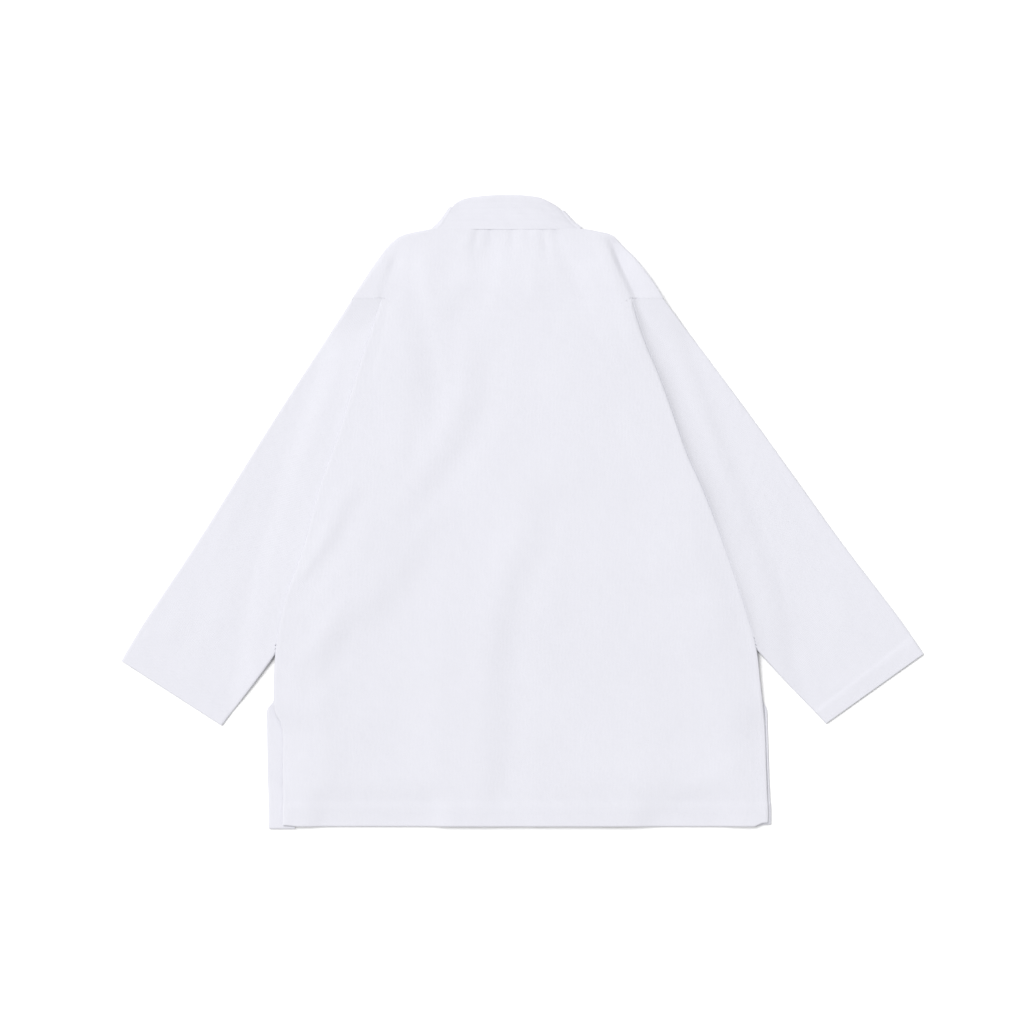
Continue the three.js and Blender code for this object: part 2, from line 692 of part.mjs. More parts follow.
// Right front and its lapel, over the left ones.
const restLapelRight = drape(30, 12);
const restFrontRight = drape(24, 12);
const lapelRight = lapelSections(LAPEL_RIGHT_SECTIONS, restLapelRight);
jacket.add(wall("lapel_right", lapelRight, false));
const frontRight = fronts.map((section) => {
  const inner = seamEdgeX(LAPEL_RIGHT_SECTIONS, section.level) + CURVED_SEAM_GAP;
  const tuck = tuckLine(section, 1, -1, frontTuck(restFrontRight), frontLayer(restFrontRight));
  const layer = layerLine(section, -1, section.layerRight[0], inner, LAYER_POINTS_FRONT + 3,
    frontLayer(restFrontRight));
  return thicken([...tuck, ...layer], CLOTH);
});
jacket.add(wall("front_right", frontRight, false));
cover(bandOutline(LAPEL_RIGHT_SECTIONS), (x, y) => restLapelRight(x, y) + BAND_THICKNESS);
const frontRightOutline = [
  ...fronts.map((section) => section.right),
  ...fronts.map((section) => [seamEdgeX(LAPEL_RIGHT_SECTIONS, section.level), section.level]).reverse(),
];
cover(frontRightOutline, (x, y) => restFrontRight(x, y) + CLOTH);
cover(tuckOutline(fronts, 1), (x, y) => restFrontRight(x, y) + 2 * CLOTH + SEAM_GAP);

// Sleeves, lying between the folds of the fronts and of the back.
const restSleeve = drape(24, 12);
for (const sleeve of [SLEEVE_LEFT, SLEEVE_RIGHT]) {
  const sections = SLEEVE_SECTIONS.map((row) => sleeveSection(sleeve, row));
  jacket.add(wall(sleeve.name, sections.map((section) => sleeveWall(section, restSleeve)), true));
  cover(sleeveOutline(sections), (x, y) => (
    restSleeve(x, y) + SLEEVE_HEIGHT + Math.max(foldHeight(SLEEVE_FOLDS, x, y), 0)));
}

// Back, with its tucks over the sleeves and its loose layer over everything.
const backs = bodySections(BODY_SECTIONS, backEnds);
const restTuck = drape(18, 12);
const backTuck = (x, y) => restTuck(x, y) + (CLOTH + hemLift(y)) / 2;
for (const side of [-1, 1]) {
  cover(tuckOutline(backs, side), (x, y) => backTuck(x, y) + (CLOTH + hemLift(y)) / 2);
}
const restBack = drape(18, 24);
const backLayer = (x, y) => (
  restBack(x, y) + (CLOTH + hemLift(y)) / 2 + Math.max(LOFT + foldHeight(BACK_FOLDS, x, y), 0));
const back = backs.map((section) => {
  const left = tuckLine(section, -1, 1, backTuck, backLayer);
  const right = tuckLine(section, 1, 1, backTuck, backLayer).reverse();
  const layer = layerLine(section, 1, section.layerLeft[0], section.layerRight[0],
    LAYER_POINTS_BACK, backLayer);
  return thicken([...left, ...layer, ...right], clothAt(section.level));
});
jacket.add(wall("back_panel", back, false));

// Neck length of the band, above the back's neck seam.
jacket.add(neckBand());

// The origin is under the middle of the finished jacket.
const bounds = new THREE.Box3().setFromObject(jacket);
const centre = bounds.getCenter(new THREE.Vector3());
for (const mesh of jacket.children) {
  mesh.geometry.translate(-centre.x, -centre.y, -bounds.min.z);
}

export default jacket;
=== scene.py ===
"""Looks of the white jiu-jitsu jacket that lies flat on its front, back side up.

Sizes are in millimetres until a mesh is made. The pieces are laid one on another as in the CAD,
on a finer height field, and get rounded edges, creases, weave and stitching.
"""

import math

import bpy
import numpy as np
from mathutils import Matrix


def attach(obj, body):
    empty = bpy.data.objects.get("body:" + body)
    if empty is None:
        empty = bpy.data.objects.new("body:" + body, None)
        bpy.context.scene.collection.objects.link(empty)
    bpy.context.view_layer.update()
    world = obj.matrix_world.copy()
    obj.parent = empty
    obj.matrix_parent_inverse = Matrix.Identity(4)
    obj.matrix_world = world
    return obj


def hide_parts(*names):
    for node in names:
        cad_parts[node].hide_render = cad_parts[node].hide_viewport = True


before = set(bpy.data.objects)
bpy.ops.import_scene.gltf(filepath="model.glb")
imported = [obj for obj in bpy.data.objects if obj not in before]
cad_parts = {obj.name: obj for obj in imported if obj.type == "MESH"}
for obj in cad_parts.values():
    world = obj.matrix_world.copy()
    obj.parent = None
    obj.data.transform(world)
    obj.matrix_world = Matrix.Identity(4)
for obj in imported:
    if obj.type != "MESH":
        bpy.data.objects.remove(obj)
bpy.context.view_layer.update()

# ---- Cloth and bands ----
CLOTH = 1.6
HEM_EXTRA = 1.2
SEAM_GAP = 0.3
CURVED_SEAM_GAP = 0.7
BAND_THICKNESS = 6.0
SLEEVE_HEIGHT = 4.2
SLEEVE_EDGE = 3.4
CUFF_HEM = 26.0
FOLD_REACH = 3.0
SEAM_REACH, SEAM_LAP = 0.12, 0.6
LOFT = 1.7
MESH_STEP = 5.0
ROW_END_BEND = 15.0
ROW_GAP, ROW_OVERHANG = 0.4, 2.0
TURNED_EDGE = (2.6, 1.4, 0.5)
FAR_FROM_HEM = 9.0
HEM_LEVEL = -387.0
SHARP_ANGLE = math.radians(50)
RIPPLE_WAVES = 14
MM = 0.001


def table(text):
    """Numbers from a text, one row a line; what a row leaves out at its end is zero."""
    rows = [[float(word) for word in line.split()] for line in text.strip().splitlines()]
    longest = max(map(len, rows))
    return np.array([row + [0.0] * (longest - len(row)) for row in rows])


def creases(text):
    """Creases from a text, one a line, with stations between commas; a comma at the end goes on."""
    lines = text.replace(",\n", ",").strip().splitlines()
    return [[[float(word) for word in station.split()] for station in line.split(",")]
            for line in lines]


# Sections of the body from the neck to the hem: the level, then the edge and the tuck's depth at
# each side, and how far the fronts' edge lies from that of the back.
BODY_COLUMNS = ("level", "leftX", "leftY", "leftTuck", "rightX", "rightY", "rightTuck",
                "frontLeftX", "frontLeftY", "frontRightX", "frontRightY")
BODY_SECTIONS = table("""
368.2 -116 368.4 8 78 368.6 8
356 -153 361 8 113 361.6 8
348 -167 353 8 124 353 8
339 -177 343 8 133.5 343 8
328 -186 331 8 146 331 8
315 -196 317 8 157.5 317 8
303 -207 300 8 170 300 8
294 -221.5 276.4 4 183 277.2 4
284 -202 277 8 162.5 277.2 6
270 -183 277.7 8 142.5 277.2 8
248 -192.5 248 36 150.5 248 34
214 -204.5 214 62 162.5 214 58
180 -215.5 180 80 177 180 80
144 -226 144 97 190.5 144 100
108 -237 108 110 203 108 117
72 -249.5 72 118 216 72 130
36 -262.5 36 106 232.5 36 128
0 -273 0 90 247 0 109
-36 -282 -36 73 260 -36 88
-72 -294 -72 58 272.5 -72 67
-108 -307.5 -108 44 284.5 -108 45
-144 -316 -144 25 295.5 -144 24
-180 -321 -180 13 304.5 -180 13
-215 -323 -215 13 308.5 -215 13
-244 -323.5 -244 13 312 -244 13 0 0 0.5
-262 -321.5 -262 14 314 -262 14 -11 4 4 4
-284 -312.5 -284 15 315.5 -284 15 -20 0 3.5
-345 -312 -345 15 317.5 -345 15 -19.5 0 3.5
-386 -311.5 -386 15 319 -384 15 -18.5 0 3.5
-409 -311.5 -407.5 15 319 -404 15 -18.5 -4.5 3.5 -2.5
""")
EAR_OUTER_ROW, EAR_INNER_ROW = 7, 9
CORNER_ROWS = (EAR_OUTER_ROW, EAR_INNER_ROW)

# Bands: x and y at the seam, x and y at the free edge, and how far the neck length sinks.
NECK_SECTIONS = table("""
-108.4 366.7 -88.6 400
-104 367 -81.2 404.9
-96 367.3 -68 408.9
-76 367.3 -47 411.2 0.2
-48 367.2 -34 412 1.4
-20 367.1 -20 412.2 2.2
8 367.2 0 411.8 1.6
34 367.3 19 409.6 0.2
45 367.3 27.5 406.8
55 367.2 35 403.2
64 366.9 43.8 398.2
68.4 366.7 48.6 393.9
""")
NECK_LEFT_FOLD = {"seam": (-110, 366.4), "free": (-91.8, 395.8), "out": (-0.83, 0.558)}
NECK_RIGHT_FOLD = {"seam": (70.3, 366.5), "free": (50.7, 391.0), "out": (0.73, 0.684)}
NECK_FOLD_RADIUS = 2.95
NECK_UNDERLAP = 10.0
LAPEL_LEFT_SECTIONS = table("""
-104 358 -72 389
-100 340 -60 362
-88 302 -46 318
-63 241 -21.5 258.5
-39 186 2.2 203
-15.5 131 26.2 147.6
5 80 47.5 95
22 28 65.5 39
34 -25 78.5 -17
43 -80 87.6 -75
49 -140 94 -137
53 -210 98 -209
55 -310 100 -310
56 -407 101 -407
""")
LAPEL_RIGHT_SECTIONS = table("""
64 360 35 386
60 340 20 358
52 296 8.6 308
40 240 -4 249
30 185 -14.3 193
22 130 -22.6 136
15 75 -29.6 80
8 20 -36.6 25
0 -35 -44.5 -29
-10 -90 -54.2 -81.5
-20 -145 -64.6 -139
-27 -205 -71.9 -202
-33 -300 -78 -299
-36 -405 -81 -405
""")

SLEEVES = {
    "sleeve_left": {"outer": ((-222, 276), (-522, -193.5)), "under": ((-125, 78), (-391, -278)),
                    "crown": 66.0},
    "sleeve_right": {"outer": ((184, 276.8), (522, -184.5)), "under": ((84, 58), (394.5, -275.5)),
                     "crown": 73.5},
}
# Sleeves: share of the length, crown, swell of the outer and of the under edge.
SLEEVE_SECTIONS = table("""
0 1 0 0
0.05 0.68 0 0
0.11 0.37 0.4 0
0.19 0.14 0.8 0
0.28 0 1.2 0
0.37 0 1.2 0
0.46 0 0.6 0
0.55 0 0 0
0.64 0 -0.6 0
0.73 0 -0.4 0.6
0.82 0 0.8 1
0.9 0 1.6 0.6
0.955 0 0.8 0
1 0 0 0
""")
CROWN_AT = 0.27

# ---- Creases ----
# Stations of x, y, half width and height: above zero a ridge, below it a trough.
BACK_CREASES = creases("""
-72 262 14 0.5, -74 200 19 1.6, -80 140 20 2, -104 88 20 2, -136 46 18 1.6, -166 4 15 0.6
-40 210 17 -0.9, -44 150 18 -1.4, -62 92 18 -1.6, -102 36 18 -1.5, -140 -8 15 -0.8
6 40 18 0.7, -4 -20 22 1.5, -24 -80 23 1.9, -40 -150 23 1.9, -50 -230 22 1.8, -52 -320 21 1.8,
    -58 -396 17 1
44 14 16 -0.8, 32 -52 18 -1.6, 10 -84 19 -1.2, -4 -130 21 -1.2, -10 -190 21 -1.5,
    -12 -256 21 -1.8, -12 -324 21 -1.9, -20 -396 17 -1.1
-160 170 18 0.6, -158 120 20 1.6, -164 60 20 1.4, -176 20 16 0.6
-118 200 13 -0.9, -113 160 14 -1.8, -116 118 13 -0.8
-144 330 11 -0.9, -138 280 13 -2, -124 230 13 -1.7, -118 200 12 -0.8
-166 262 11 0.8, -156 216 12 1.2, -143 180 12 0.9
-132 354 12 -0.6, -146 336 13 -1.6, -158 310 12 -1.4, -166 284 10 -0.8
-152 352 6 -0.8, -164 324 7 -1.8, -177 290 7 -2, -184 254 7 -1.8, -192 214 7 -1.3,
    -205 172 8 -0.6
98 358 9 1.2, 109 330 12 2.4, 122 294 14 2.8, 135 254 14 2.6, 148 216 14 2, 162 180 13 1.3,
    180 140 12 0.5
117 353 8 -1.6, 130 322 11 -2.4, 146 288 12 -2
-62 352 11 0.8, -72 312 14 1.6, -90 278 14 1
-38 352 10 -1, -40 316 12 -1.6, -52 276 12 -0.8
8 352 10 0.8, 14 318 12 1.2, 16 284 12 0.6
44 358 7 -1, 52 330 10 -1.8, 68 304 11 -1.8, 80 276 10 -1
84 340 14 1, 98 290 14 1.4, 112 240 14 1, 128 200 14 0.5
-212 10 13 -1, -234 -36 14 -2, -262 -78 13 -1.9, -288 -112 10 -1
-236 18 12 1.2, -258 -40 12 1.8, -285 -80 8 0.9
-236 -118 12 1, -254 -152 13 2, -282 -190 11 1.2
-216 -144 13 -1, -234 -178 14 -1.9, -256 -214 13 -1.7, -278 -240 11 -0.8
250 -60 30 0.8, 252 -120 36 1.6, 222 -200 36 1.4, 205 -260 30 0.6
68 -100 16 -0.3, 74 -140 18 -0.5, 80 -176 16 -0.3
112 130 14 -0.6, 130 96 16 -0.8, 148 62 14 -0.5
100 10 44 -0.4, 160 -20 48 -0.5, 214 -56 40 -0.4
284 -318 10 0.5, 236 -350 12 0.9, 186 -374 10 0.5
-314 -292 7 -1.2, -314 -320 8 -1.7, -314 -346 7 -1.2
-60 364 4 -1.1, -61 352 5 -1.2, -64 338 6 -0.5
-42 364 4 -1.2, -39 350 6 -1.5, -38 330 8 -0.8
-14 364 4 -0.8, -13 350 5 -0.8, -14 336 6 -0.3
27 364 4 -1.2, 30 348 5 -1.3, 33 332 7 -0.6
43 364 4 -1, 50 346 6 -1.1, 57 330 7 -0.4
-70 362 6 0.6, -74 346 8 0.8, -80 330 9 0.5
-2 364 6 0.7, -3 348 8 0.9, -2 330 10 0.5
17 364 6 0.6, 18 348 7 0.7, 19 334 8 0.3
""")
SLEEVE_CREASES = creases("""
-236 196 14 0.8, -262 130 16 1.6, -290 60 14 0.8
-330 -20 24 0.8, -376 -104 28 1.5, -420 -190 22 0.8
-290 -60 16 0.6, -322 -116 18 1.2, -350 -170 14 0.6
-436 -128 10 0.5, -462 -156 12 1.2, -496 -166 10 0.5
-404 -236 12 0.7, -430 -214 14 1.3, -452 -206 12 0.6
-360 24 9 0.4, -384 -16 10 0.8, -398 -58 9 0.4
200 210 12 0.8, 232 140 14 1.4, 262 60 12 0.8
330 0 24 0.6, 376 -80 28 1.3, 420 -160 22 0.7
300 -60 16 0.6, 336 -130 18 1.2, 372 -190 14 0.6
402 -96 12 0.6, 424 -142 14 1.2, 468 -176 12 0.6
398 -232 10 0.5, 424 -222 12 1.1, 452 -204 10 0.5
340 64 9 0.4, 372 22 10 0.8, 392 -30 9 0.4
""")
FRONT_CREASES = creases("""
-150 250 10 0.8, -140 190 13 2.2, -112 120 13 2.4, -72 60 10 1.2
-236 92 9 0.8, -206 30 12 2.2, -160 -40 13 2.6, -104 -96 10 1
-288 -92 8 0.8, -236 -130 11 2, -168 -176 12 2.2, -92 -196 9 0.8
-40 -60 9 0.8, -28 -140 12 2, -34 -230 11 1.6, -48 -310 9 0.8
-300 -300 8 0.6, -252 -290 10 1.6, -196 -306 9 0.8
-150 -250 9 0.6, -172 -310 11 1.8, -206 -366 9 0.8
-120 330 8 0.6, -138 300 10 1.6, -166 276 8 0.8
150 70 9 0.8, 172 0 12 2, 208 -66 12 2, 246 -112 9 0.8
130 220 9 0.8, 124 150 11 1.8, 136 92 9 0.8
278 -170 9 0.8, 226 -212 12 2, 164 -240 10 1.2
150 -300 9 0.6, 196 -330 11 1.6, 262 -340 9 0.8
128 -96 8 0.5, 140 -160 10 1.4, 136 -220 8 0.6
""")


# ---- Small helpers ----
join = np.concatenate


def ease(t):
    t = np.clip(t, 0, 1)
    return t * t * (3 - 2 * t)


def mix(a, b, t):
    return a + (b - a) * t


def unit(vectors):
    vectors = np.asarray(vectors, float)
    return vectors / np.maximum(np.linalg.norm(vectors, axis=-1, keepdims=True), 1e-9)


def upward(count, z=1.0):
    """Directions straight up, or down for a negative z, for a number or a grid of points."""
    return np.broadcast_to([0.0, 0.0, z], (*np.atleast_1d(count), 3))


def reach_along(path):
    """Length run along a path at each of its points."""
    return join([[0], np.cumsum(np.linalg.norm(np.diff(path, axis=0), axis=1))])


def rounded(share, least=0.0):
    """Height of a round edge at a share of its radius from where it closes."""
    return np.sqrt(np.clip(1 - (1 - np.clip(share, 0, 1)) ** 2, least, 1))


def soft_floor(height, softness=0.35):
    """Keeps a height above zero without a kink."""
    return 0.5 * (height + np.sqrt(height * height + softness * softness)) - softness / 2


def to_segment(x, y, a, b):
    """Distance of points from a segment, and the share along it of the nearest place."""
    (ax, ay), (bx, by) = a, b
    length2 = max((bx - ax) ** 2 + (by - ay) ** 2, 1e-9)
    t = np.clip(((x - ax) * (bx - ax) + (y - ay) * (by - ay)) / length2, 0, 1)
    return np.hypot(x - mix(ax, bx, t), y - mix(ay, by, t)), t


def crease_height(placed_creases, x, y):
    """Height that the listed creases give to points."""
    total = np.zeros(np.broadcast(x, y).shape)
    for stations in placed_creases:
        nearest = np.full(total.shape, 1e9)
        width = np.ones(total.shape)
        height = np.zeros(total.shape)
        for (ax, ay, aw, ah), (bx, by, bw, bh) in zip(stations, stations[1:]):
            distance, t = to_segment(x, y, (ax, ay), (bx, by))
            closer = distance < nearest
            nearest = np.where(closer, distance, nearest)
            width = np.where(closer, mix(aw, bw, t), width)
            height = np.where(closer, mix(ah, bh, t), height)
        total += height * np.exp(-(nearest / width) ** 2)
    return total


def ripple(x, y, seed, amplitude, shortest, longest):
    """Faint unevenness of cloth that was folded and washed."""
    chance = np.random.default_rng(seed)
    total = np.zeros(np.broadcast(x, y).shape)
    for _ in range(RIPPLE_WAVES):
        heading = chance.uniform(0, math.pi)
        turns = 2 * math.pi / chance.uniform(shortest, longest)
        phase = chance.uniform(0, 2 * math.pi)
        bend = chance.uniform(0.5, 1.5)
        along = x * math.cos(heading) + y * math.sin(heading)
        sideways = y * math.cos(heading) - x * math.sin(heading)
        total += np.sin(along * turns + phase + bend * np.sin(sideways * turns * 0.6))
    return amplitude * total / math.sqrt(RIPPLE_WAVES)


# ---- The pile the pieces are laid on ----
CELL = 3.0
HALF_X, HALF_Y = 546.0, 432.0
GRID_X = np.arange(-HALF_X, HALF_X + CELL / 2, CELL)
GRID_Y = np.arange(-HALF_Y, HALF_Y + CELL / 2, CELL)
FIELD_X, FIELD_Y = np.meshgrid(GRID_X, GRID_Y)
pile = np.zeros(FIELD_X.shape)


def widened(field, reach):
    """The largest height within the reach of each point."""
    cells = int(round(reach / CELL))
    for axis in (0, 1):
        source = np.moveaxis(field, axis, 0)
        result = source.copy()
        for step in range(1, cells + 1):
            result[step:] = np.maximum(result[step:], source[:-step])
            result[:-step] = np.maximum(result[:-step], source[step:])
        field = np.moveaxis(result, 0, axis)
    return field


def softened(field, reach):
    """The mean height within the reach of each point."""
    cells = max(int(round(reach / CELL)), 1)
    for axis in (0, 1):
        source = np.moveaxis(field, axis, 0)
        padded = join([source[:1].repeat(cells, 0), source, source[-1:].repeat(cells, 0)])
        total = np.cumsum(join([np.zeros((1,) + source.shape[1:]), padded]), axis=0)
        mean = (total[2 * cells + 1:] - total[:-2 * cells - 1]) / (2 * cells + 1)
        field = np.moveaxis(mean, 0, axis)
    return field


def sampled(field, x, y):
    column = np.clip((np.asarray(x, float) + HALF_X) / CELL, 0, len(GRID_X) - 1.001)
    row = np.clip((np.asarray(y, float) + HALF_Y) / CELL, 0, len(GRID_Y) - 1.001)
    left, low = column.astype(int), row.astype(int)
    across, up = column - left, row - low
    bottom = mix(field[low, left], field[low, left + 1], across)
    top = mix(field[low + 1, left], field[low + 1, left + 1], across)
    return mix(bottom, top, up)


def drape(reach, softness):
    """The surface a piece takes when laid on the pile: clear of it, and easing down beside it."""
    field = widened(pile, reach + softness)
    for _ in range(3):
        field = softened(field, softness / 3)
    field = field + SEAM_GAP * ease(field / CLOTH)
    return lambda x, y: sampled(field, x, y)


def is_inside(outline, x, y):
    inside = np.zeros(x.shape, bool)
    for (ax, ay), (bx, by) in zip(outline, np.roll(outline, 1, axis=0)):
        if ay == by:
            continue
        crosses = ((ay > y) != (by > y)) & (x < (bx - ax) * (y - ay) / (by - ay) + ax)
        inside ^= crosses
    return inside


def cover(outline, top):
    inside = is_inside(np.asarray(outline, float), FIELD_X, FIELD_Y)
    heights = np.broadcast_to(top(FIELD_X, FIELD_Y), pile.shape)
    pile[inside] = np.maximum(pile[inside], heights[inside])


# ---- Meshes ----
def placed(name, data):
    """A new object in the scene."""
    obj = bpy.data.objects.new(name, data)
    bpy.context.scene.collection.objects.link(obj)
    return obj


def wall_mesh(name, face, reverse, uv, is_tube, material):
    """A closed wall from two grids of points, (sections, across, 3), in millimetres."""
    rows, across = face.shape[:2]
    points = join([face.reshape(-1, 3), reverse.reshape(-1, 3)]) * MM
    index = np.arange(rows * across).reshape(rows, across)
    if is_tube:
        index = join([index, index[:, :1]], axis=1)
    back = index + rows * across

    corners = [
        (index[:-1, :-1], index[1:, :-1], index[1:, 1:], index[:-1, 1:]),
        (back[:-1, :-1], back[:-1, 1:], back[1:, 1:], back[1:, :-1]),
        (index[0, :-1], index[0, 1:], back[0, 1:], back[0, :-1]),
        (index[-1, :-1], back[-1, :-1], back[-1, 1:], index[-1, 1:]),
    ]
    if not is_tube:
        corners.append((index[:-1, 0], back[:-1, 0], back[1:, 0], index[1:, 0]))
        corners.append((index[:-1, -1], index[1:, -1], back[1:, -1], back[:-1, -1]))
    faces = join([np.stack(four, -1).reshape(-1, 4) for four in corners])
    a, b, c, d = np.moveaxis(points[faces], 1, 0)
    volume = (a * (np.cross(b, c) + np.cross(c, d))).sum()
    if volume < 0:
        faces = faces[:, ::-1]
    mesh = bpy.data.meshes.new(name)
    mesh.from_pydata(points.tolist(), [], faces.tolist())
    layer = mesh.uv_layers.new(name="cloth")
    flat = join([uv.reshape(-1, 2), uv.reshape(-1, 2)]) * MM
    layer.data.foreach_set("uv", flat[faces.reshape(-1)].astype(np.float32).reshape(-1))
    mesh.validate()
    mesh.shade_smooth()
    mesh.set_sharp_from_angle(angle=SHARP_ANGLE)
    mesh.materials.append(material)
    return placed(name, mesh)


def refined_rows(rows, steps, corners=()):
    """More rows between those of a table, on a smooth curve that keeps the corners."""
    made, marks = [], []
    for i in range(len(rows) - 1):
        a, b = rows[i], rows[i + 1]
        before = a if i == 0 or i in corners else rows[i - 1]
        after = b if i + 2 == len(rows) or i + 1 in corners else rows[i + 2]
        start = (b - before) / (1 if before is a else 2)
        end = (after - a) / (1 if after is b else 2)
        count = steps(a, b)
        for k in range(count):
            t = k / count
            h = t * t * (3 - 2 * t)
            bend = start * (t ** 3 - 2 * t ** 2 + t)
            made.append(a + (b - a) * h + bend + end * (t ** 3 - t ** 2))
            marks.append(i + t)
    made.append(rows[-1])
    marks.append(len(rows) - 1)
    return np.array(made), np.array(marks)


def edge_rows(rows, marks, insets):
    """Adds rows close to the last one, where a turned edge closes."""
    last, before = rows[-1], rows[-2]
    reach = np.hypot(last[1] - before[1], last[2] - before[2])
    extra = [last + (before - last) * min(inset / reach, 0.95) for inset in insets]
    more_marks = [marks[-1]] * (len(extra) + 1)
    return np.array([*rows[:-1], *extra, last]), np.array([*marks[:-1], *more_marks])


# ---- Body panels ----
SIDE_NAMES = {-1: "left", 1: "right"}
CORNER_REACH = 11.0
VENT_FACING, VENT_TOP = 34.0, -244
NECK_ROUNDING = 22
TUCK_POINTS, FOLD_POINTS = 14, 9


def turned_normals(edge, side, reach):
    """Outward directions of an edge, which turn little by little round its corners."""
    along = reach_along(edge)
    behind, ahead = (np.stack([np.interp(along + shift, along, edge[:, k]) for k in (0, 1)], -1)
                     for shift in (-reach, reach))
    chord = ahead - behind
    return unit(np.stack([-side * chord[:, 1], side * chord[:, 0]], -1))


def column(rows, name):
    return rows[:, BODY_COLUMNS.index(name)]


class Body:
    """Refined sections of the back or of the fronts."""

    def __init__(self, first_row, is_front):
        corners = [row - first_row for row in CORNER_ROWS]

        def steps(a, b):
            longest = max(abs(a[0] - b[0]), np.hypot(a[1] - b[1], a[2] - b[2]))
            return max(int(math.ceil(longest / MESH_STEP)), 1)

        rows, marks = refined_rows(BODY_SECTIONS[first_row:], steps, corners)
        rows, marks = edge_rows(rows, marks, TURNED_EDGE)
        self.level = column(rows, "level")
        push = 1.0 if is_front else 0.0

        def end(name, axis):
            return column(rows, name + axis) + push * column(rows, f"front{name.title()}{axis}")

        self.ends = {side: np.stack([end(name, axis) for axis in "XY"], -1)
                     for side, name in SIDE_NAMES.items()}
        self.tucks = {side: column(rows, name + "Tuck") for side, name in SIDE_NAMES.items()}
        if is_front:
            facing = VENT_FACING * ease((VENT_TOP - self.level) / 18)
            self.tucks = {side: np.maximum(tuck, facing) for side, tuck in self.tucks.items()}
        self.from_hem = join([np.full(len(rows) - 4, FAR_FROM_HEM), [*TURNED_EDGE, 0.0]])
        self.marks = marks + first_row
        on_seam = ease((self.marks - EAR_OUTER_ROW + 1.0) / 1.0)
        on_seam = on_seam * ease((EAR_INNER_ROW + 0.4 - self.marks) / 0.4)
        self.reach = mix(FOLD_REACH, SEAM_REACH, on_seam)
        self.lap = (0.0 if is_front else SEAM_LAP) * on_seam
        self.outs, self.layers = {}, {}
        for side, edge in self.ends.items():
            from_neck = np.linalg.norm(edge - edge[0], axis=1)
            at_neck = 1 - ease(from_neck / NECK_ROUNDING)
            level = np.maximum(ease(self.marks - EAR_INNER_ROW), at_neck)[:, None]
            out = unit(mix(turned_normals(edge, side, CORNER_REACH), np.array([side, 0.0]), level))
            self.outs[side] = out
            self.layers[side] = edge + out * (self.lap - self.reach - CLOTH)[:, None]

    def plan_y(self, x):
        """Height in the plan of points of each section, (sections, points)."""
        left, right = self.layers[-1], self.layers[1]
        at_left = 1 - ease((x - left[:, :1]) / ROW_END_BEND)
        at_right = 1 - ease((right[:, :1] - x) / ROW_END_BEND)
        level = self.level[:, None]
        y = level + (left[:, 1:] - level) * at_left + (right[:, 1:] - level) * at_right
        for upper in range(len(y) - 2, -1, -1):
            self.keep_apart(x, y, upper, upper + 1, 1)
        for lower in range(1, len(y)):
            self.keep_apart(x, y, lower, lower - 1, -1)
        return y

    @staticmethod
    def keep_apart(x, y, row, other, side):
        """Moves the inner points of a row off its neighbour, up (side 1) or down (side -1)."""
        limit = np.interp(x[row], x[other], y[other]) + side * ROW_GAP
        beside = (x[row] > x[other][0] - ROW_OVERHANG) & (x[row] < x[other][-1] + ROW_OVERHANG)
        beside[[0, -1]] = False
        wrong = beside & (side * (limit - y[row]) > 0)
        y[row] = np.where(wrong, limit, y[row])

    def outline(self, side):
        inner = self.ends[side] - self.outs[side] * self.tucks[side][:, None]
        return join([self.ends[side], inner[::-1]])

    def tuck_line(self, side, facing, tuck_middle, layer_middle, thickness):
        """Middle line and outward directions of a tuck and its fold, from the inner end out."""
        out = self.outs[side][:, None, :]
        edge = self.ends[side][:, None, :] + out * self.lap[:, None, None]
        tuck_z = tuck_middle(edge[..., 0], edge[..., 1])
        layer_z = layer_middle(edge[..., 0], edge[..., 1])
        radius = np.maximum(np.abs(layer_z - tuck_z) / 2, thickness[:, None] / 2 + 0.05)
        middle = (layer_z + tuck_z) / 2
        overhang = np.minimum(radius, self.reach[:, None])
        base = overhang + CLOTH / 2
        t = np.linspace(0, 1, TUCK_POINTS)[None, :]
        inward = mix(self.tucks[side][:, None], base, t)
        flat = edge - out * inward[..., None]
        flat_z = tuck_middle(flat[..., 0], flat[..., 1])
        flat_z = mix(flat_z, middle - facing * radius, ease((t - 0.7) / 0.3))
        angles = np.radians(np.linspace(-78, 78, FOLD_POINTS))[None, :]
        turned = edge - out * (base - overhang * np.cos(angles))[..., None]
        turned_z = middle + facing * radius * np.sin(angles)
        slope = unit(np.stack([np.cos(angles) / overhang, facing * np.sin(angles) / radius], -1))
        points = join([np.dstack([flat, flat_z]), np.dstack([turned, turned_z])], axis=1)
        round_out = join([out * slope[..., :1], slope[..., 1:]], axis=-1)
        return points, join([upward(flat.shape[:2], -facing), round_out], axis=1)

    def layer_line(self, facing, x, layer_middle):
        y = self.plan_y(x)
        return np.dstack([x, y, layer_middle(x, y)]), upward(x.shape, facing)


def thickened(points, outward, thickness, closing):
    """Face and reverse of a wall; closing narrows it towards a turned edge."""
    half = (thickness * closing / 2)[:, None, None]
    return points + outward * half, points - outward * half


def closing_of(from_hem, thickness):
    """How much of the wall is left this close to a turned edge."""
    return rounded(from_hem / (thickness / 2), 0.04)


def tilted(points, outward):
    """Turns the flat directions of a wall square to its slope."""
    across = np.gradient(points[..., 0], axis=1)
    rise = np.gradient(points[..., 2], axis=1)
    gradient_x = rise / np.maximum(np.abs(across), 0.5) * np.sign(across)
    level = np.abs(outward[..., 2]) > 0.999
    leaned = unit(np.stack([-gradient_x, np.zeros_like(gradient_x), np.ones_like(gradient_x)], -1))
    leaned *= np.sign(outward[..., 2:] + 1e-9)
    return np.where(level[..., None], leaned, outward)


def seam_edge_x(rows, y):
    order = np.argsort(rows[:, 1])
    return np.interp(y, rows[order, 1], rows[order, 0])


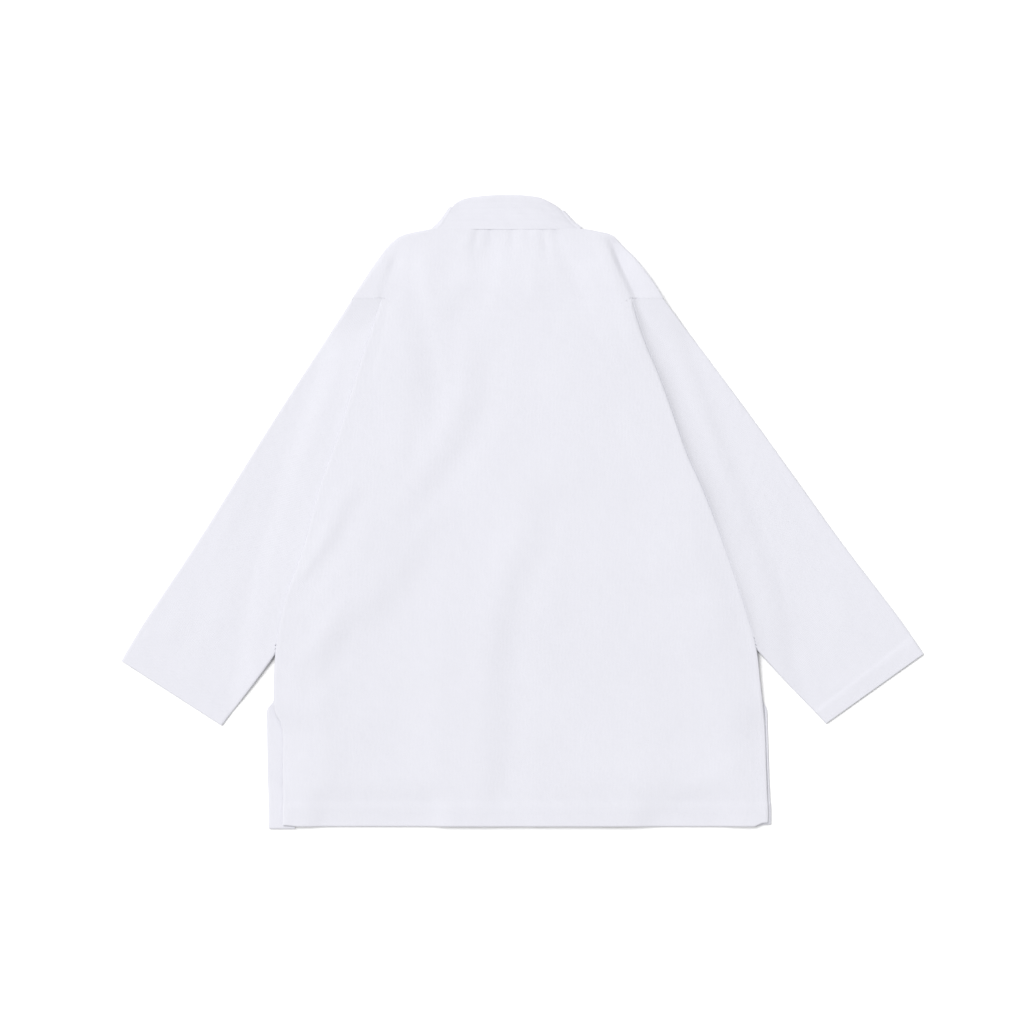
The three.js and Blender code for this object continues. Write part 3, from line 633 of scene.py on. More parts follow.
def hem_lift(y):
    return HEM_EXTRA * ease((HEM_LEVEL + 12 - y) / 10)


def half_wall(y):
    return (CLOTH + hem_lift(y)) / 2


# ---- Collar band ----
QUILT_ROWS, QUILT_DEPTH = (3.4, 11.4, 19.4, 27.4, 35.4, 41.6), 0.13
BAND_WIDTH = 45.0
SEAM_ROUNDING, FREE_ROUNDING = 0.8, 3.0
BAND_LAP = 1.3
LAPEL_REACH = 4
LAPEL_END = (0.95, 0.8, 0.35)


def band_profile():
    """Stations across the band and its thickness there: nearly square at its seam, round at
    its free edge, with quilted rows between."""
    share = join([
        np.array([0, 0.12, 0.4, 0.8, 1.6, 2.0, 2.4, 2.8, 3.2]),
        np.linspace(4.4, BAND_WIDTH - 4.0, 36),
        BAND_WIDTH - np.array([2.9, 1.8, 0.9, 0.3, 0]),
    ])
    half = BAND_THICKNESS / 2 * rounded((BAND_WIDTH - share) / FREE_ROUNDING, 0.03)
    for row in QUILT_ROWS:
        half = half - QUILT_DEPTH * np.exp(-((share - row) / 1.0) ** 2)
    outer = half - 0.5 * (1 - rounded(share / SEAM_ROUNDING))
    inner = mix(-(BAND_THICKNESS / 2 - BAND_LAP), half, ease((share - 1.6) / 1.6))
    return share / BAND_WIDTH, outer, inner


def band_grid(seam, free, middle, up, fullness=1.0, spread=0.0):
    """Face and reverse grids of band sections: (n, 2) edges, (n,) heights, (n, 3) directions."""
    width = np.linalg.norm(free - seam, axis=1)
    stations, outer, inner = band_profile()
    flare = np.exp(-(stations * BAND_WIDTH / 9) ** 2)
    across = (free - seam)[:, None, :] * stations[None, :, None]
    across[..., 0] += np.reshape(spread, (-1, 1)) * flare[None, :]
    plan = seam[:, None, :] + across
    centre = np.dstack([plan, np.broadcast_to(middle[:, None], plan.shape[:2])])
    up = up[:, None, :] * np.reshape(fullness, (-1, 1, 1))
    along = reach_along((seam + free) / 2)
    uv = np.dstack(np.broadcast_arrays(stations[None, :] * width[:, None], along[:, None]))
    return centre + up * outer[None, :, None], centre - up * inner[None, :, None], uv


def smooth_path(values, reach):
    """Rolling mean along a list."""
    kernel = np.ones(2 * reach + 1) / (2 * reach + 1)
    return np.convolve(np.pad(values, reach, mode="edge"), kernel, "valid")


def lapel(name, sections, rest, material):
    rows, _ = refined_rows(sections, lambda a, b: max(int(np.hypot(*(a - b)[:2]) / 5), 1))
    closing = [mix(rows[-2], rows[-1], t) for t in (0.55, 0.85)]
    rows = np.array([*rows[:-1], *closing, rows[-1]])
    seam, free = rows[:, :2], rows[:, 2:4]
    beneath = np.max([rest(*mix(seam, free, t).T) for t in (0, 0.25, 0.5, 0.75, 1)], axis=0)
    padded = np.pad(beneath, LAPEL_REACH, mode="edge")
    highest = [padded[i:i + 2 * LAPEL_REACH + 1].max() for i in range(len(beneath))]
    middle = smooth_path(np.array(highest), LAPEL_REACH) + BAND_THICKNESS / 2
    face, reverse, uv = band_grid(seam, free, middle, upward(len(rows)))
    centre, end = middle[-3:, None], np.array(LAPEL_END)
    for grid in (face, reverse):
        grid[-3:, :, 2] = centre + (grid[-3:, :, 2] - centre) * end[:, None]
    outline = join([seam, free[::-1]])
    return wall_mesh(name, face, reverse, uv, False, material), outline


FOLDED_FULLNESS = 0.83
FREE_BULGE = 0.3


def neck_fold(fold):
    out = np.array(fold["out"])
    seam, free = np.array(fold["seam"], float), np.array(fold["free"], float)
    lower = BAND_THICKNESS * FOLDED_FULLNESS / 2
    centre_z = lower + NECK_FOLD_RADIUS
    shifts, middles, ups = [], [], []
    for distance in (NECK_UNDERLAP, NECK_UNDERLAP * 0.5):
        shifts.append(-out * distance)
        middles.append(lower)
        ups.append((0, 0, -1))
    for degrees in np.linspace(-90, 90, 13):
        angle = math.radians(degrees)
        shifts.append(out * NECK_FOLD_RADIUS * math.cos(angle))
        middles.append(centre_z + NECK_FOLD_RADIUS * math.sin(angle))
        ups.append((out[0] * math.cos(angle), out[1] * math.cos(angle), math.sin(angle)))
    shifts = np.array(shifts)
    return seam + shifts, free + FREE_BULGE * shifts, np.array(middles), np.array(ups)


def neck_band(material):
    top = BAND_THICKNESS * FOLDED_FULLNESS / 2 + 2 * NECK_FOLD_RADIUS
    left, right = neck_fold(NECK_LEFT_FOLD), neck_fold(NECK_RIGHT_FOLD)
    ends = [np.array([*seams[-1], *frees[-1], 0]) for seams, frees, *_ in (left, right)]
    sections = np.array([ends[0], *NECK_SECTIONS, ends[1]])
    rows, _ = refined_rows(sections, lambda a, b: max(int(abs(a[0] - b[0]) / 3), 1))
    rows = rows[1:-1]
    seam = join([left[0], rows[:, :2], right[0][::-1]])
    free = join([left[1], rows[:, 2:4], right[1][::-1]])
    middle = join([left[2], top - rows[:, 4] * 0.45, right[2][::-1]])
    up = join([left[3], upward(len(rows)), right[3][::-1]])
    from_fold = np.minimum(np.arange(len(rows)) + 1, np.arange(len(rows))[::-1] + 1) * 3.0
    fullness = mix(FOLDED_FULLNESS, 1.0, ease(from_fold / 45))
    fullness = np.pad(fullness, len(left[2]), constant_values=FOLDED_FULLNESS)
    spread = np.interp(seam[:, 0], [-112, -96, 58, 72], [-3, 0, 0, 3])
    face, reverse, uv = band_grid(seam, free, middle, unit(up), fullness, spread)
    return wall_mesh("neck_band_cloth", face, reverse, uv, False, material)


# ---- Folds between the shoulders and the body ----
SHOULDER_FOLDS = {
    -1: {"top": (-152.8, 349.7), "bottom": (-181, 275), "softness": 8.0, "fade": 30.0},
    1: {"top": (107.0, 359.0), "bottom": (143.9, 277.0), "softness": 4.4, "fade": 10.0},
}
FOLD_COLUMN_REACH = 6.0
EDGE_MARGIN = 7.0


def fold_x(side, y):
    fold = SHOULDER_FOLDS[side]
    (top_x, top_y), (low_x, low_y) = fold["top"], fold["bottom"]
    return np.where(y < low_y, side * 1e3, top_x + (y - top_y) * (low_x - top_x) / (low_y - top_y))


def shoulder_share(x, y):
    """How far a point lies out on the shoulder, on the lower side of its fold, from 0 to 1."""
    share = 0
    for side, fold in SHOULDER_FOLDS.items():
        top, low = np.array(fold["top"]), np.array(fold["bottom"])
        along = unit(low - top)
        past = side * ((x - top[0]) * -along[1] + (y - top[1]) * along[0])
        past = ease((past + fold["softness"]) / (2 * fold["softness"]))
        share = share + past * ease((top[1] - y) / fold["fade"]) * ease((y - low[1] + 12) / 12)
    return share


def back_columns(body):
    """Places of the points across each section of the back, close together along the folds."""
    start, end = body.layers[-1][:, 0], body.layers[1][:, 0]
    left = np.maximum(fold_x(-1, body.level) - FOLD_COLUMN_REACH - start, EDGE_MARGIN)
    right = np.maximum(end - FOLD_COLUMN_REACH - fold_x(1, body.level), EDGE_MARGIN)
    band = np.full(len(start), 2 * FOLD_COLUMN_REACH)
    middle = end - start - left - right - 2 * band
    places = [start[:, None]]
    for width, count in ((left, 7), (band, 11), (middle, 88), (band, 11), (right, 7)):
        steps = np.linspace(0, 1, count + 1)[None, 1:] * width[:, None]
        places.append(places[-1][:, -1:] + steps)
    return join(places, axis=1)


# ---- Sleeves ----
NEAR_EDGE = (-6.5, -4.2, -2.6, -1.4, -0.5, 0.15, 0.5, 0.85, 1.25, 1.9, 3.2)
NEAR_ROOM = 2.0


class Sleeve:
    """Refined sections of one sleeve."""

    def __init__(self, name):
        sizes = SLEEVES[name]
        shoulder, cuff = (np.array(p, float) for p in sizes["outer"])
        armpit, heel = (np.array(p, float) for p in sizes["under"])
        length = np.linalg.norm(cuff - shoulder)
        rows, _ = refined_rows(SLEEVE_SECTIONS,
                               lambda a, b: max(int((b[0] - a[0]) * length / MESH_STEP), 1))
        near_cuff = 1 - np.array([CUFF_HEM + 1.5, CUFF_HEM - 1.5, *TURNED_EDGE]) / length
        wanted = np.sort(join([rows[:, 0], near_cuff]))
        rows = np.stack([np.interp(wanted, rows[:, 0], rows[:, k]) for k in range(4)], -1)
        axis, outward = unit(shoulder - cuff), unit(cuff - heel)
        t = rows[:, :1]
        self.from_cuff = (1 - rows[:, 0]) * length
        self.outer = mix(shoulder, cuff, t) + outward * rows[:, 2:3]
        self.under = mix(armpit, heel, t) - outward * rows[:, 3:4]
        self.crown = mix(self.outer, self.under, CROWN_AT) + axis * rows[:, 1:2] * sizes["crown"]
        self.first = np.linalg.norm(self.crown - self.outer, axis=1)[:, None]
        self.second = np.linalg.norm(self.under - self.crown, axis=1)[:, None]
        self.width = self.first + self.second

    def at(self, distance):
        """Plan points at distances from the outer edge, (sections, points, 2)."""
        start = (distance / self.first)[..., None]
        end = ((distance - self.first) / self.second)[..., None]
        outer, crown, under = (p[:, None, :] for p in (self.outer, self.crown, self.under))
        return np.where(start < 1, mix(outer, crown, start), mix(crown, under, end))

    def outline(self):
        return join([self.outer, self.under[::-1], self.crown[:1]])

    def columns(self, edge):
        """Distances across the sleeve, close together where the edge of the back crosses it."""
        tries = np.linspace(0, 1, 120)[None, :] * self.width
        plan = self.at(tries)
        signed = edge.signed(plan[..., 0], plan[..., 1])
        inside = signed < 0
        inside[:, 0] = False
        rows, hit = np.arange(len(tries)), np.maximum(inside.argmax(axis=1), 1)
        outer, inner = signed[rows, hit - 1], signed[rows, hit]
        share = np.clip(outer / np.maximum(outer - inner, 1e-6), 0, 1)
        crossing = mix(tries[rows, hit - 1], tries[rows, hit], share)
        crossing = np.where(inside.any(axis=1), crossing, 1e3)[:, None]
        near = np.array(NEAR_EDGE)[None, :]
        low, high = SLEEVE_EDGE + NEAR_ROOM, self.width - SLEEVE_EDGE - NEAR_ROOM
        near = np.clip(crossing, low - near[0, 0], high - near[0, -1]) + near
        share = np.linspace(0, 1, 25)[None, :-1]
        return join([
            mix(SLEEVE_EDGE, near[:, :1], share), near,
            mix(self.width - SLEEVE_EDGE, near[:, -1:], share[:, ::-1]),
        ], axis=1)


HUG_START, HUG_PEAK = -1.1, -0.45
HUG_LAST_ROW = 26
# How far along the height between the sleeve's rest and the back's crest, how far out, how steep.
HUG_SHARE = {-1: (0.4, 0.4), 1: (0.8, 0.92)}
HUG_REACH = {-1: (46.0, 0.0), 1: (30.0, 0.6)}


def edge_distance(outline, x, y):
    """Distance outside an outline, and the place along it of the nearest point."""
    best = np.full(x.shape, 1e9)
    place = np.zeros(x.shape)
    for i, (a, b) in enumerate(zip(outline, outline[1:])):
        distance, t = to_segment(x, y, a, b)
        closer = distance < best
        best = np.where(closer, distance, best)
        place = np.where(closer, i + t, place)
    return best, place


class BodyEdge:
    """The edge of the back that lies on a sleeve, which the sleeve's cloth rises to meet."""

    def __init__(self, body, side, crest, foot):
        self.outline = join([body.ends[-1], body.ends[1][::-1]])
        first, corner, last = (int(np.argmax(body.marks >= mark)) for mark in
                               (EAR_OUTER_ROW - 0.01, EAR_INNER_ROW - 0.01, HUG_LAST_ROW))
        along_fold = mix(foot, crest, mix(*HUG_SHARE[side], ease((body.marks - 12) / 8)))
        self.path = body.ends[side][first:last]
        self.seam = (body.ends[side][first:corner + 1], crest[first:corner + 1] - 0.1, 80.0, 0.0)
        self.fold = (body.ends[side][corner:last], along_fold[corner:last], *HUG_REACH[side])

    def signed(self, x, y):
        distance, _ = edge_distance(self.path, x, y)
        return np.where(is_inside(self.outline, x, y), -distance, distance)

    def rise(self, x, y, base):
        """How much higher the sleeve lies beside the edge."""
        total = 0
        for path, peak, reach, steep in (self.seam, self.fold):
            distance, place = edge_distance(path, x, y)
            height = np.maximum(np.interp(place, np.arange(len(path)), peak) - base, 0)
            falloff = mix(np.clip(1 - distance / reach, 0, 1) ** 2, np.exp(-distance / 5), steep)
            total = total + (height * falloff) ** 6
        return total ** (1 / 6) * ease((self.signed(x, y) - HUG_START) / (HUG_PEAK - HUG_START))


def sleeve_top(rest, x, y, extra=0.0):
    return rest(x, y) + SLEEVE_HEIGHT + extra + soft_floor(
        crease_height(SLEEVE_CREASES, x, y) + ripple(x, y, 5, 0.16, 40, 110))


def sleeve_bottom(rest, x, y):
    return rest(x, y) + 0.9 * soft_floor(ripple(x, y, 9, 0.5, 50, 120) - 0.2)


def sleeve_mesh(name, sleeve, rest, edge, material):
    hem = ease((CUFF_HEM - sleeve.from_cuff) / 6 + 0.5)[:, None]
    cloth = CLOTH + hem * HEM_EXTRA / 2
    close = closing_of(sleeve.from_cuff, cloth[:, 0])[:, None]
    angles = np.linspace(0, math.pi / 2, 6)[:-1]
    rim = SLEEVE_EDGE * (1 - np.sin(angles[::-1]))
    distances = join([
        np.broadcast_to(rim, (len(cloth), len(rim))),
        sleeve.columns(edge),
        sleeve.width - np.broadcast_to(rim[::-1], (len(cloth), len(rim))),
    ], axis=1)
    distances = np.sort(distances, axis=1)
    from_edge = np.minimum(distances, sleeve.width - distances)
    fullness = rounded(from_edge / SLEEVE_EDGE)

    def laid(distance):
        """Plan and the heights of the upper and the lower side."""
        x, y = np.moveaxis(sleeve.at(distance), -1, 0)
        high = sleeve_top(rest, x, y, hem * HEM_EXTRA)
        return x, y, high + edge.rise(x, y, high), sleeve_bottom(rest, x, y)

    x, y, high, low = laid(distances)
    centre = (high + low) / 2
    outer_top = centre + (high - centre) * fullness
    outer_low = centre - (centre - low) * fullness
    ix, iy, inner_high, inner_low = laid(
        mix(cloth + 0.9, sleeve.width - cloth - 0.9, distances / sleeve.width))
    inner_high, inner_low = inner_high - cloth, inner_low + cloth
    inner_centre = (inner_high + inner_low) / 2
    inner_half = np.maximum(inner_high - inner_centre, 0.15) * fullness
    inner_top, inner_low = inner_centre + inner_half, inner_centre - inner_half
    shut_top, shut_low = inner_top + cloth / 2, inner_low - cloth / 2

    def ring(upper, lower):
        return join([upper[:, :-1], lower[:, ::-1][:, :-1]], axis=1)

    def wall(px, py, top, low_z):
        """The ring of one side of the wall, which closes towards the cuff's end."""
        return ring(*(np.dstack([px, py, mix(z, shut, 1 - close)])
                      for z, shut in ((top, shut_top), (low_z, shut_low))))

    along = np.broadcast_to(sleeve.from_cuff[:, None], distances.shape)
    uv = ring(np.dstack([distances, along]), np.dstack([2 * sleeve.width - distances, along]))
    return wall_mesh(name, wall(x, y, outer_top, outer_low), wall(ix, iy, inner_top, inner_low),
                     uv, True, material)


# ---- Stitching ----
STITCH_PITCH, STITCH_LENGTH, STITCH_WIDTH = 3.4, 2.4, 0.7
STITCH_HEIGHT, STITCH_SINK = 0.32, 0.25


class Stitches:
    """Collects rows of raised thread and makes them one mesh."""

    def __init__(self, name, material):
        self.name, self.material = name, material
        self.points, self.faces = [], []

    def row(self, path, height=STITCH_HEIGHT):
        """A row of stitches along a path of points, in millimetres."""
        path = np.asarray(path, float)
        reach = reach_along(path)
        count = int(reach[-1] / STITCH_PITCH)
        centres = (np.arange(count) + 0.5) * STITCH_PITCH
        up = np.array([0.0, 0.0, 1.0])
        for centre in centres:
            ends = [np.array([np.interp(s, reach, path[:, k]) for k in range(3)])
                    for s in (centre - STITCH_LENGTH / 2, centre + STITCH_LENGTH / 2)]
            along = unit(ends[1] - ends[0])
            side = unit(np.cross(up, along)) * STITCH_WIDTH / 2
            lift, sink = up * height, up * STITCH_SINK
            quarter = (ends[1] - ends[0]) * 0.2
            base = len(self.points)
            self.points += [
                ends[0] - sink, ends[0] + quarter + side - sink, ends[1] - quarter + side - sink,
                ends[1] - sink, ends[1] - quarter - side - sink, ends[0] + quarter - side - sink,
                ends[0] + quarter + lift, ends[1] - quarter + lift,
            ]
            self.faces += [[base + i for i in face] for face in (
                (0, 1, 6), (1, 2, 7, 6), (2, 3, 7), (3, 4, 7), (4, 5, 6, 7), (5, 0, 6),
                (0, 5, 4, 3, 2, 1))]

    def make(self):
        mesh = bpy.data.meshes.new(self.name)
        mesh.from_pydata((np.array(self.points) * MM).tolist(), [], self.faces)
        mesh.shade_smooth()
        mesh.materials.append(self.material)
        return placed(self.name, mesh)


# ---- Materials ----
def feed(tree, made, **inputs):
    """Sets a node's inputs, in which _ stands for a space, or links them to other sockets."""
    for key, value in inputs.items():
        socket = made.inputs[key.replace("_", " ")]
        if isinstance(value, bpy.types.NodeSocket):
            tree.links.new(value, socket)
        else:
            socket.default_value = value
    return made


def joined(tree, operation, *values):
    """A math node fed by sockets or numbers."""
    made = tree.nodes.new("ShaderNodeMath")
    made.operation = operation
    for socket, value in zip(made.inputs, values):
        if isinstance(value, (int, float)):
            socket.default_value = value
        else:
            tree.links.new(value, socket)
    return made.outputs["Value"]


def tinted(tree, blend_type, **inputs):
    """A mix of two colours."""
    made = tree.nodes.new("ShaderNodeMix")
    made.data_type, made.blend_type = "RGBA", blend_type
    return feed(tree, made, **inputs).outputs["Result"]


def new_material(name, **inputs):
    """A material, its node tree and its shader with some inputs set."""
    material = bpy.data.materials.new(name)
    material.use_nodes = True
    tree = material.node_tree
    return material, tree, feed(tree, tree.nodes["Principled BSDF"], **inputs)


def pearls(tree, across, along, width, length):
    """Rounded grains in rows, each row half a grain on from the last."""
    row = joined(tree, "DIVIDE", across, width)
    odd = joined(tree, "FLOORED_MODULO", joined(tree, "FLOOR", row), 2.0)
    shift = joined(tree, "MULTIPLY", odd, 0.5)
    grain = joined(tree, "ADD", joined(tree, "DIVIDE", along, length), shift)
    places = [joined(tree, "PINGPONG", joined(tree, "ADD", part, 0.5), 0.5)
              for part in (row, grain)]
    squares = [joined(tree, "POWER", place, 2.0) for place in places]
    reach = joined(tree, "MULTIPLY", joined(tree, "ADD", *squares), 3.2)
    return joined(tree, "SQRT", joined(tree, "MAXIMUM", joined(tree, "SUBTRACT", 1.0, reach), 0.0))


def twill(tree, across, along, pitch):
    """Fine slanting ribs."""
    slant = joined(tree, "MULTIPLY", joined(tree, "ADD", across, along), 2 * math.pi / pitch)
    return joined(tree, "MULTIPLY_ADD", joined(tree, "SINE", slant), 0.5, 0.5)


def cloth_material(name, color, weave, depth, sheen):
    """White woven cotton: a raised weave, painted shade in its hollows, faint mottling, fine fuzz
    and a soft sheen.
    """
    material, tree, shader = new_material(
        name, Roughness=0.88, Specular_IOR_Level=0.2, Sheen_Weight=sheen, Sheen_Roughness=0.6)
    place = tree.nodes.new("ShaderNodeUVMap")
    place.uv_map = "cloth"
    wander, mottle, fuzz = (
        feed(tree, tree.nodes.new("ShaderNodeTexNoise"), Scale=scale, Detail=detail,
             Vector=place.outputs["UV"]).outputs["Fac"]
        for scale, detail in ((60.0, 1.0), (8.0, 4.0), (1100.0, 2.0)))
    split = feed(tree, tree.nodes.new("ShaderNodeSeparateXYZ"), Vector=place.outputs["UV"])
    drift = joined(tree, "MULTIPLY", wander, 0.004)
    relief = weave(tree, *(joined(tree, "ADD", split.outputs[axis], drift) for axis in "XY"))
    tint = tinted(tree, "MIX", Factor=mottle, A=(*[c * 0.975 for c in color], 1),
                  B=(*[min(c * 1.02, 1) for c in color], 1))
    # Painted shade: the colour is darkened where the weave is low, standing in for shadow in its
    # hollows.
    painted_weave_shade = tinted(tree, "MULTIPLY", Factor=joined(tree, "SUBTRACT", 1.0, relief), A=tint,
                   B=(0.96, 0.96, 0.966, 1))
    height = joined(tree, "MULTIPLY_ADD", fuzz, 0.25, relief)
    bump = feed(tree, tree.nodes.new("ShaderNodeBump"), Strength=1.0, Distance=depth, Height=height)
    feed(tree, shader, Base_Color=painted_weave_shade, Normal=bump.outputs["Normal"])
    return material


def floor_material():
    """Pale studio floor that can be seen through from below."""
    material, tree, shader = new_material(
        "studio_floor", Base_Color=(0.9, 0.9, 0.9, 1), Roughness=0.95, Specular_IOR_Level=0.1)
    clear = tree.nodes.new("ShaderNodeBsdfTransparent")
    side = tree.nodes.new("ShaderNodeNewGeometry")
    blend = feed(tree, tree.nodes.new("ShaderNodeMixShader"), Fac=side.outputs["Backfacing"])
    tree.links.new(shader.outputs["BSDF"], blend.inputs[1])
    tree.links.new(clear.outputs["BSDF"], blend.inputs[2])
    feed(tree, tree.nodes["Material Output"], Surface=blend.outputs["Shader"])
    return material


WHITE = (0.645, 0.645, 0.6935)
PEARL = cloth_material("pearl_weave_white", WHITE,
                       lambda tree, u, v: pearls(tree, u, v, 0.0017, 0.0025), 0.0002, 0.25)
TWILL = cloth_material("band_twill_white", WHITE,
                       lambda tree, u, v: twill(tree, u, v, 0.0014), 0.00012, 0.15)
THREAD = cloth_material("thread_white", (0.69, 0.69, 0.735),
                        lambda tree, u, v: twill(tree, u, v, 0.0006), 0.00005, 0.1)

# ---- Laying the pieces down, lowest first ----
pieces = {}


def floor_rest(x, y):
    return np.zeros(np.broadcast(x, y).shape)


def panel(name, body, parts, thickness):
    """A wall of the body from parts, each a grid of middle points and one of directions."""
    points, outward = (join(grids, axis=1) for grids in zip(*parts))
    face, reverse = thickened(points, tilted(points, outward), thickness,
                              closing_of(body.from_hem, thickness))
    return wall_mesh(name, face, reverse, points[..., :2], False, PEARL)


def lay_front(name, body, side, sections, rest, count, seed):
    """One front: its layer, and the tuck folded back over it."""
    def under(x, y):
        lift = crease_height(FRONT_CREASES, x, y) + ripple(x, y, seed, 0.12, 45, 120) - 0.15
        return rest(x, y) + soft_floor(lift)

    def middle(x, y):
        return under(x, y) + half_wall(y)

    seam = np.stack([seam_edge_x(sections, body.level), body.level], -1)
    cover(join([body.ends[side], seam[::-1]]), lambda x, y: middle(x, y) + half_wall(y))
    on_layer = drape(9, 9)

    def tuck_middle(x, y):
        return on_layer(x, y) + CLOTH / 2

    thickness = CLOTH + hem_lift(body.level)
    inner = seam[:, 0] + side * CURVED_SEAM_GAP
    x = mix(body.layers[side][:, :1], inner[:, None], np.linspace(0, 1, count)[None, :])
    parts = [body.tuck_line(side, -1, tuck_middle, middle, thickness),
             body.layer_line(-1, x, middle)]
    cover(body.outline(side), lambda x, y: tuck_middle(x, y) + CLOTH / 2)
    return panel(name, body, parts, thickness)


pieces["lapel_left"], outline = lapel("lapel_left_cloth", LAPEL_LEFT_SECTIONS, floor_rest, TWILL)
cover(outline, lambda x, y: BAND_THICKNESS)
fronts = Body(1, True)
pieces["front_left"] = lay_front(
    "front_left_cloth", fronts, -1, LAPEL_LEFT_SECTIONS, floor_rest, 70, 21)

rest_lapel = drape(12, 18)
rest_front = drape(15, 18)
pieces["lapel_right"], outline = lapel("lapel_right_cloth", LAPEL_RIGHT_SECTIONS, rest_lapel, TWILL)
cover(outline, lambda x, y: rest_lapel(x, y) + BAND_THICKNESS)
pieces["front_right"] = lay_front(
    "front_right_cloth", fronts, 1, LAPEL_RIGHT_SECTIONS, rest_front, 74, 22)

rest_sleeve = drape(12, 20)
sleeves = {name: Sleeve(name) for name in SLEEVES}
for sleeve in sleeves.values():
    cover(sleeve.outline(), lambda x, y: sleeve_top(rest_sleeve, x, y))

back = Body(0, False)
rest_tuck = drape(10, 14)


def back_tuck(x, y):
    return rest_tuck(x, y) + half_wall(y)


for side in (-1, 1):
    cover(back.outline(side), lambda x, y: back_tuck(x, y) + half_wall(y))
rest_snug, rest_bridged = drape(20, 32), drape(56, 70)
rest_collar = drape(18, 30)
rest_shoulder = drape(10, 16)
YOKE_LINE, YOKE_DEPTH, YOKE_WIDTH, YOKE_LEFT, YOKE_RIGHT, YOKE_FADE = 262.0, 0.3, 1.6, -124, 104, 8
BRIDGED_SHARE = 0.55
COLLAR_FROM, COLLAR_FADE = 290, 45
SHOULDER_LOFT, FLAT_LOSS = 1.5, 0.8
FLAT_LEFT, FLAT_RIGHT, FLAT_HEM = 60, 46, 60
FLAT_RIGHT_FROM, FLAT_RIGHT_FADE, FLAT_HEM_LEVEL = 30, 120, -405
SIDE_LEVELS, SIDE_LEFT, SIDE_RIGHT = (column(BODY_SECTIONS[:8:-1], name)
                                      for name in ("level", "leftX", "rightX"))


def flatness(x, y):
    """How closely the back follows what it lies on, most along its left edge and its hem."""
    from_left = x - np.interp(y, SIDE_LEVELS, SIDE_LEFT)
    from_right = np.interp(y, SIDE_LEVELS, SIDE_RIGHT) - x
    low_left = 1 - ease(from_left / FLAT_LEFT)
    low_right = (1 - ease(from_right / FLAT_RIGHT)) * ease((FLAT_RIGHT_FROM - y) / FLAT_RIGHT_FADE)
    low_hem = 1 - ease((y - FLAT_HEM_LEVEL) / FLAT_HEM)
    return np.maximum(np.maximum(low_left, low_right), low_hem)


def back_under(x, y):
    relief = crease_height(BACK_CREASES, x, y) + ripple(x, y, 3, 0.16, 45, 130)
    yoke = np.exp(-((y - YOKE_LINE) / YOKE_WIDTH) ** 2)
    yoke = yoke * ease((x - YOKE_LEFT) / YOKE_FADE) * ease((YOKE_RIGHT - x) / YOKE_FADE)
    flat = flatness(x, y)
    loose = mix(rest_snug(x, y), rest_bridged(x, y), BRIDGED_SHARE)
    loose = mix(loose, rest_collar(x, y), ease((y - COLLAR_FROM) / COLLAR_FADE))
    body = mix(loose, rest_shoulder(x, y), flat) - YOKE_DEPTH * yoke
    body = body + soft_floor(LOFT * (1 - FLAT_LOSS * flat) + relief)
    shoulder = rest_shoulder(x, y) + soft_floor(SHOULDER_LOFT + relief)
    return mix(body, shoulder, shoulder_share(x, y))


def back_middle(x, y):
    return back_under(x, y) + half_wall(y)


def back_top(x, y):
    return back_under(x, y) + CLOTH + hem_lift(y)


thickness = CLOTH + hem_lift(back.level)
left, right = (back.tuck_line(side, 1, back_tuck, back_middle, thickness) for side in (-1, 1))
layer = back.layer_line(1, back_columns(back), back_middle)
pieces["back_panel"] = panel(
    "back_panel_cloth", back, [left, layer, [grid[:, ::-1] for grid in right]], thickness)
pieces["neck_band"] = neck_band(TWILL)
for side, side_name in SIDE_NAMES.items():
    name = "sleeve_" + side_name
    edge_x, edge_y = back.ends[side].T
    crest, foot = back_top(edge_x, edge_y), rest_tuck(edge_x, edge_y)
    body_edge = BodyEdge(back, side, crest, foot)
    pieces[name] = sleeve_mesh(name + "_cloth", sleeves[name], rest_sleeve, body_edge, PEARL)

# ---- Stitching on what shows ----
HEM_INSETS, VENT_INSETS, CUFF_INSETS = (4.5, 17.5), (5.5, 12.5), (4.5, 19.5)
HEM_X, HEM_Y = [-311.5, -279.5, 287, 319], [-407.5, -409, -409, -404]
HEM_ROW = (-306, 313)
YOKE_ROW = ((-118, YOKE_LINE), (98, YOKE_LINE))
ARMHOLE_ROWS = (((-212, 281), (-187, 282)), ((174, 281), (148, 281)))
VENT_ROWS_FROM = -268
YOKE_HEIGHT, ARMHOLE_HEIGHT = 0.2, 0.15
body_thread = Stitches("stitches_back", THREAD)
sleeve_thread = Stitches("stitches_sleeves", THREAD)


def on_back(x, y):
    return np.stack([x, y, back_top(x, y)], -1)


def straight(a, b):
    count = max(int(np.hypot(b[0] - a[0], b[1] - a[1]) / 4.0), 2)
    t = np.linspace(0, 1, count)
    return mix(a[0], b[0], t), mix(a[1], b[1], t)


def hem_path(inset):
    x = np.linspace(*HEM_ROW, 140)
    return x, np.interp(x, HEM_X, HEM_Y) + inset


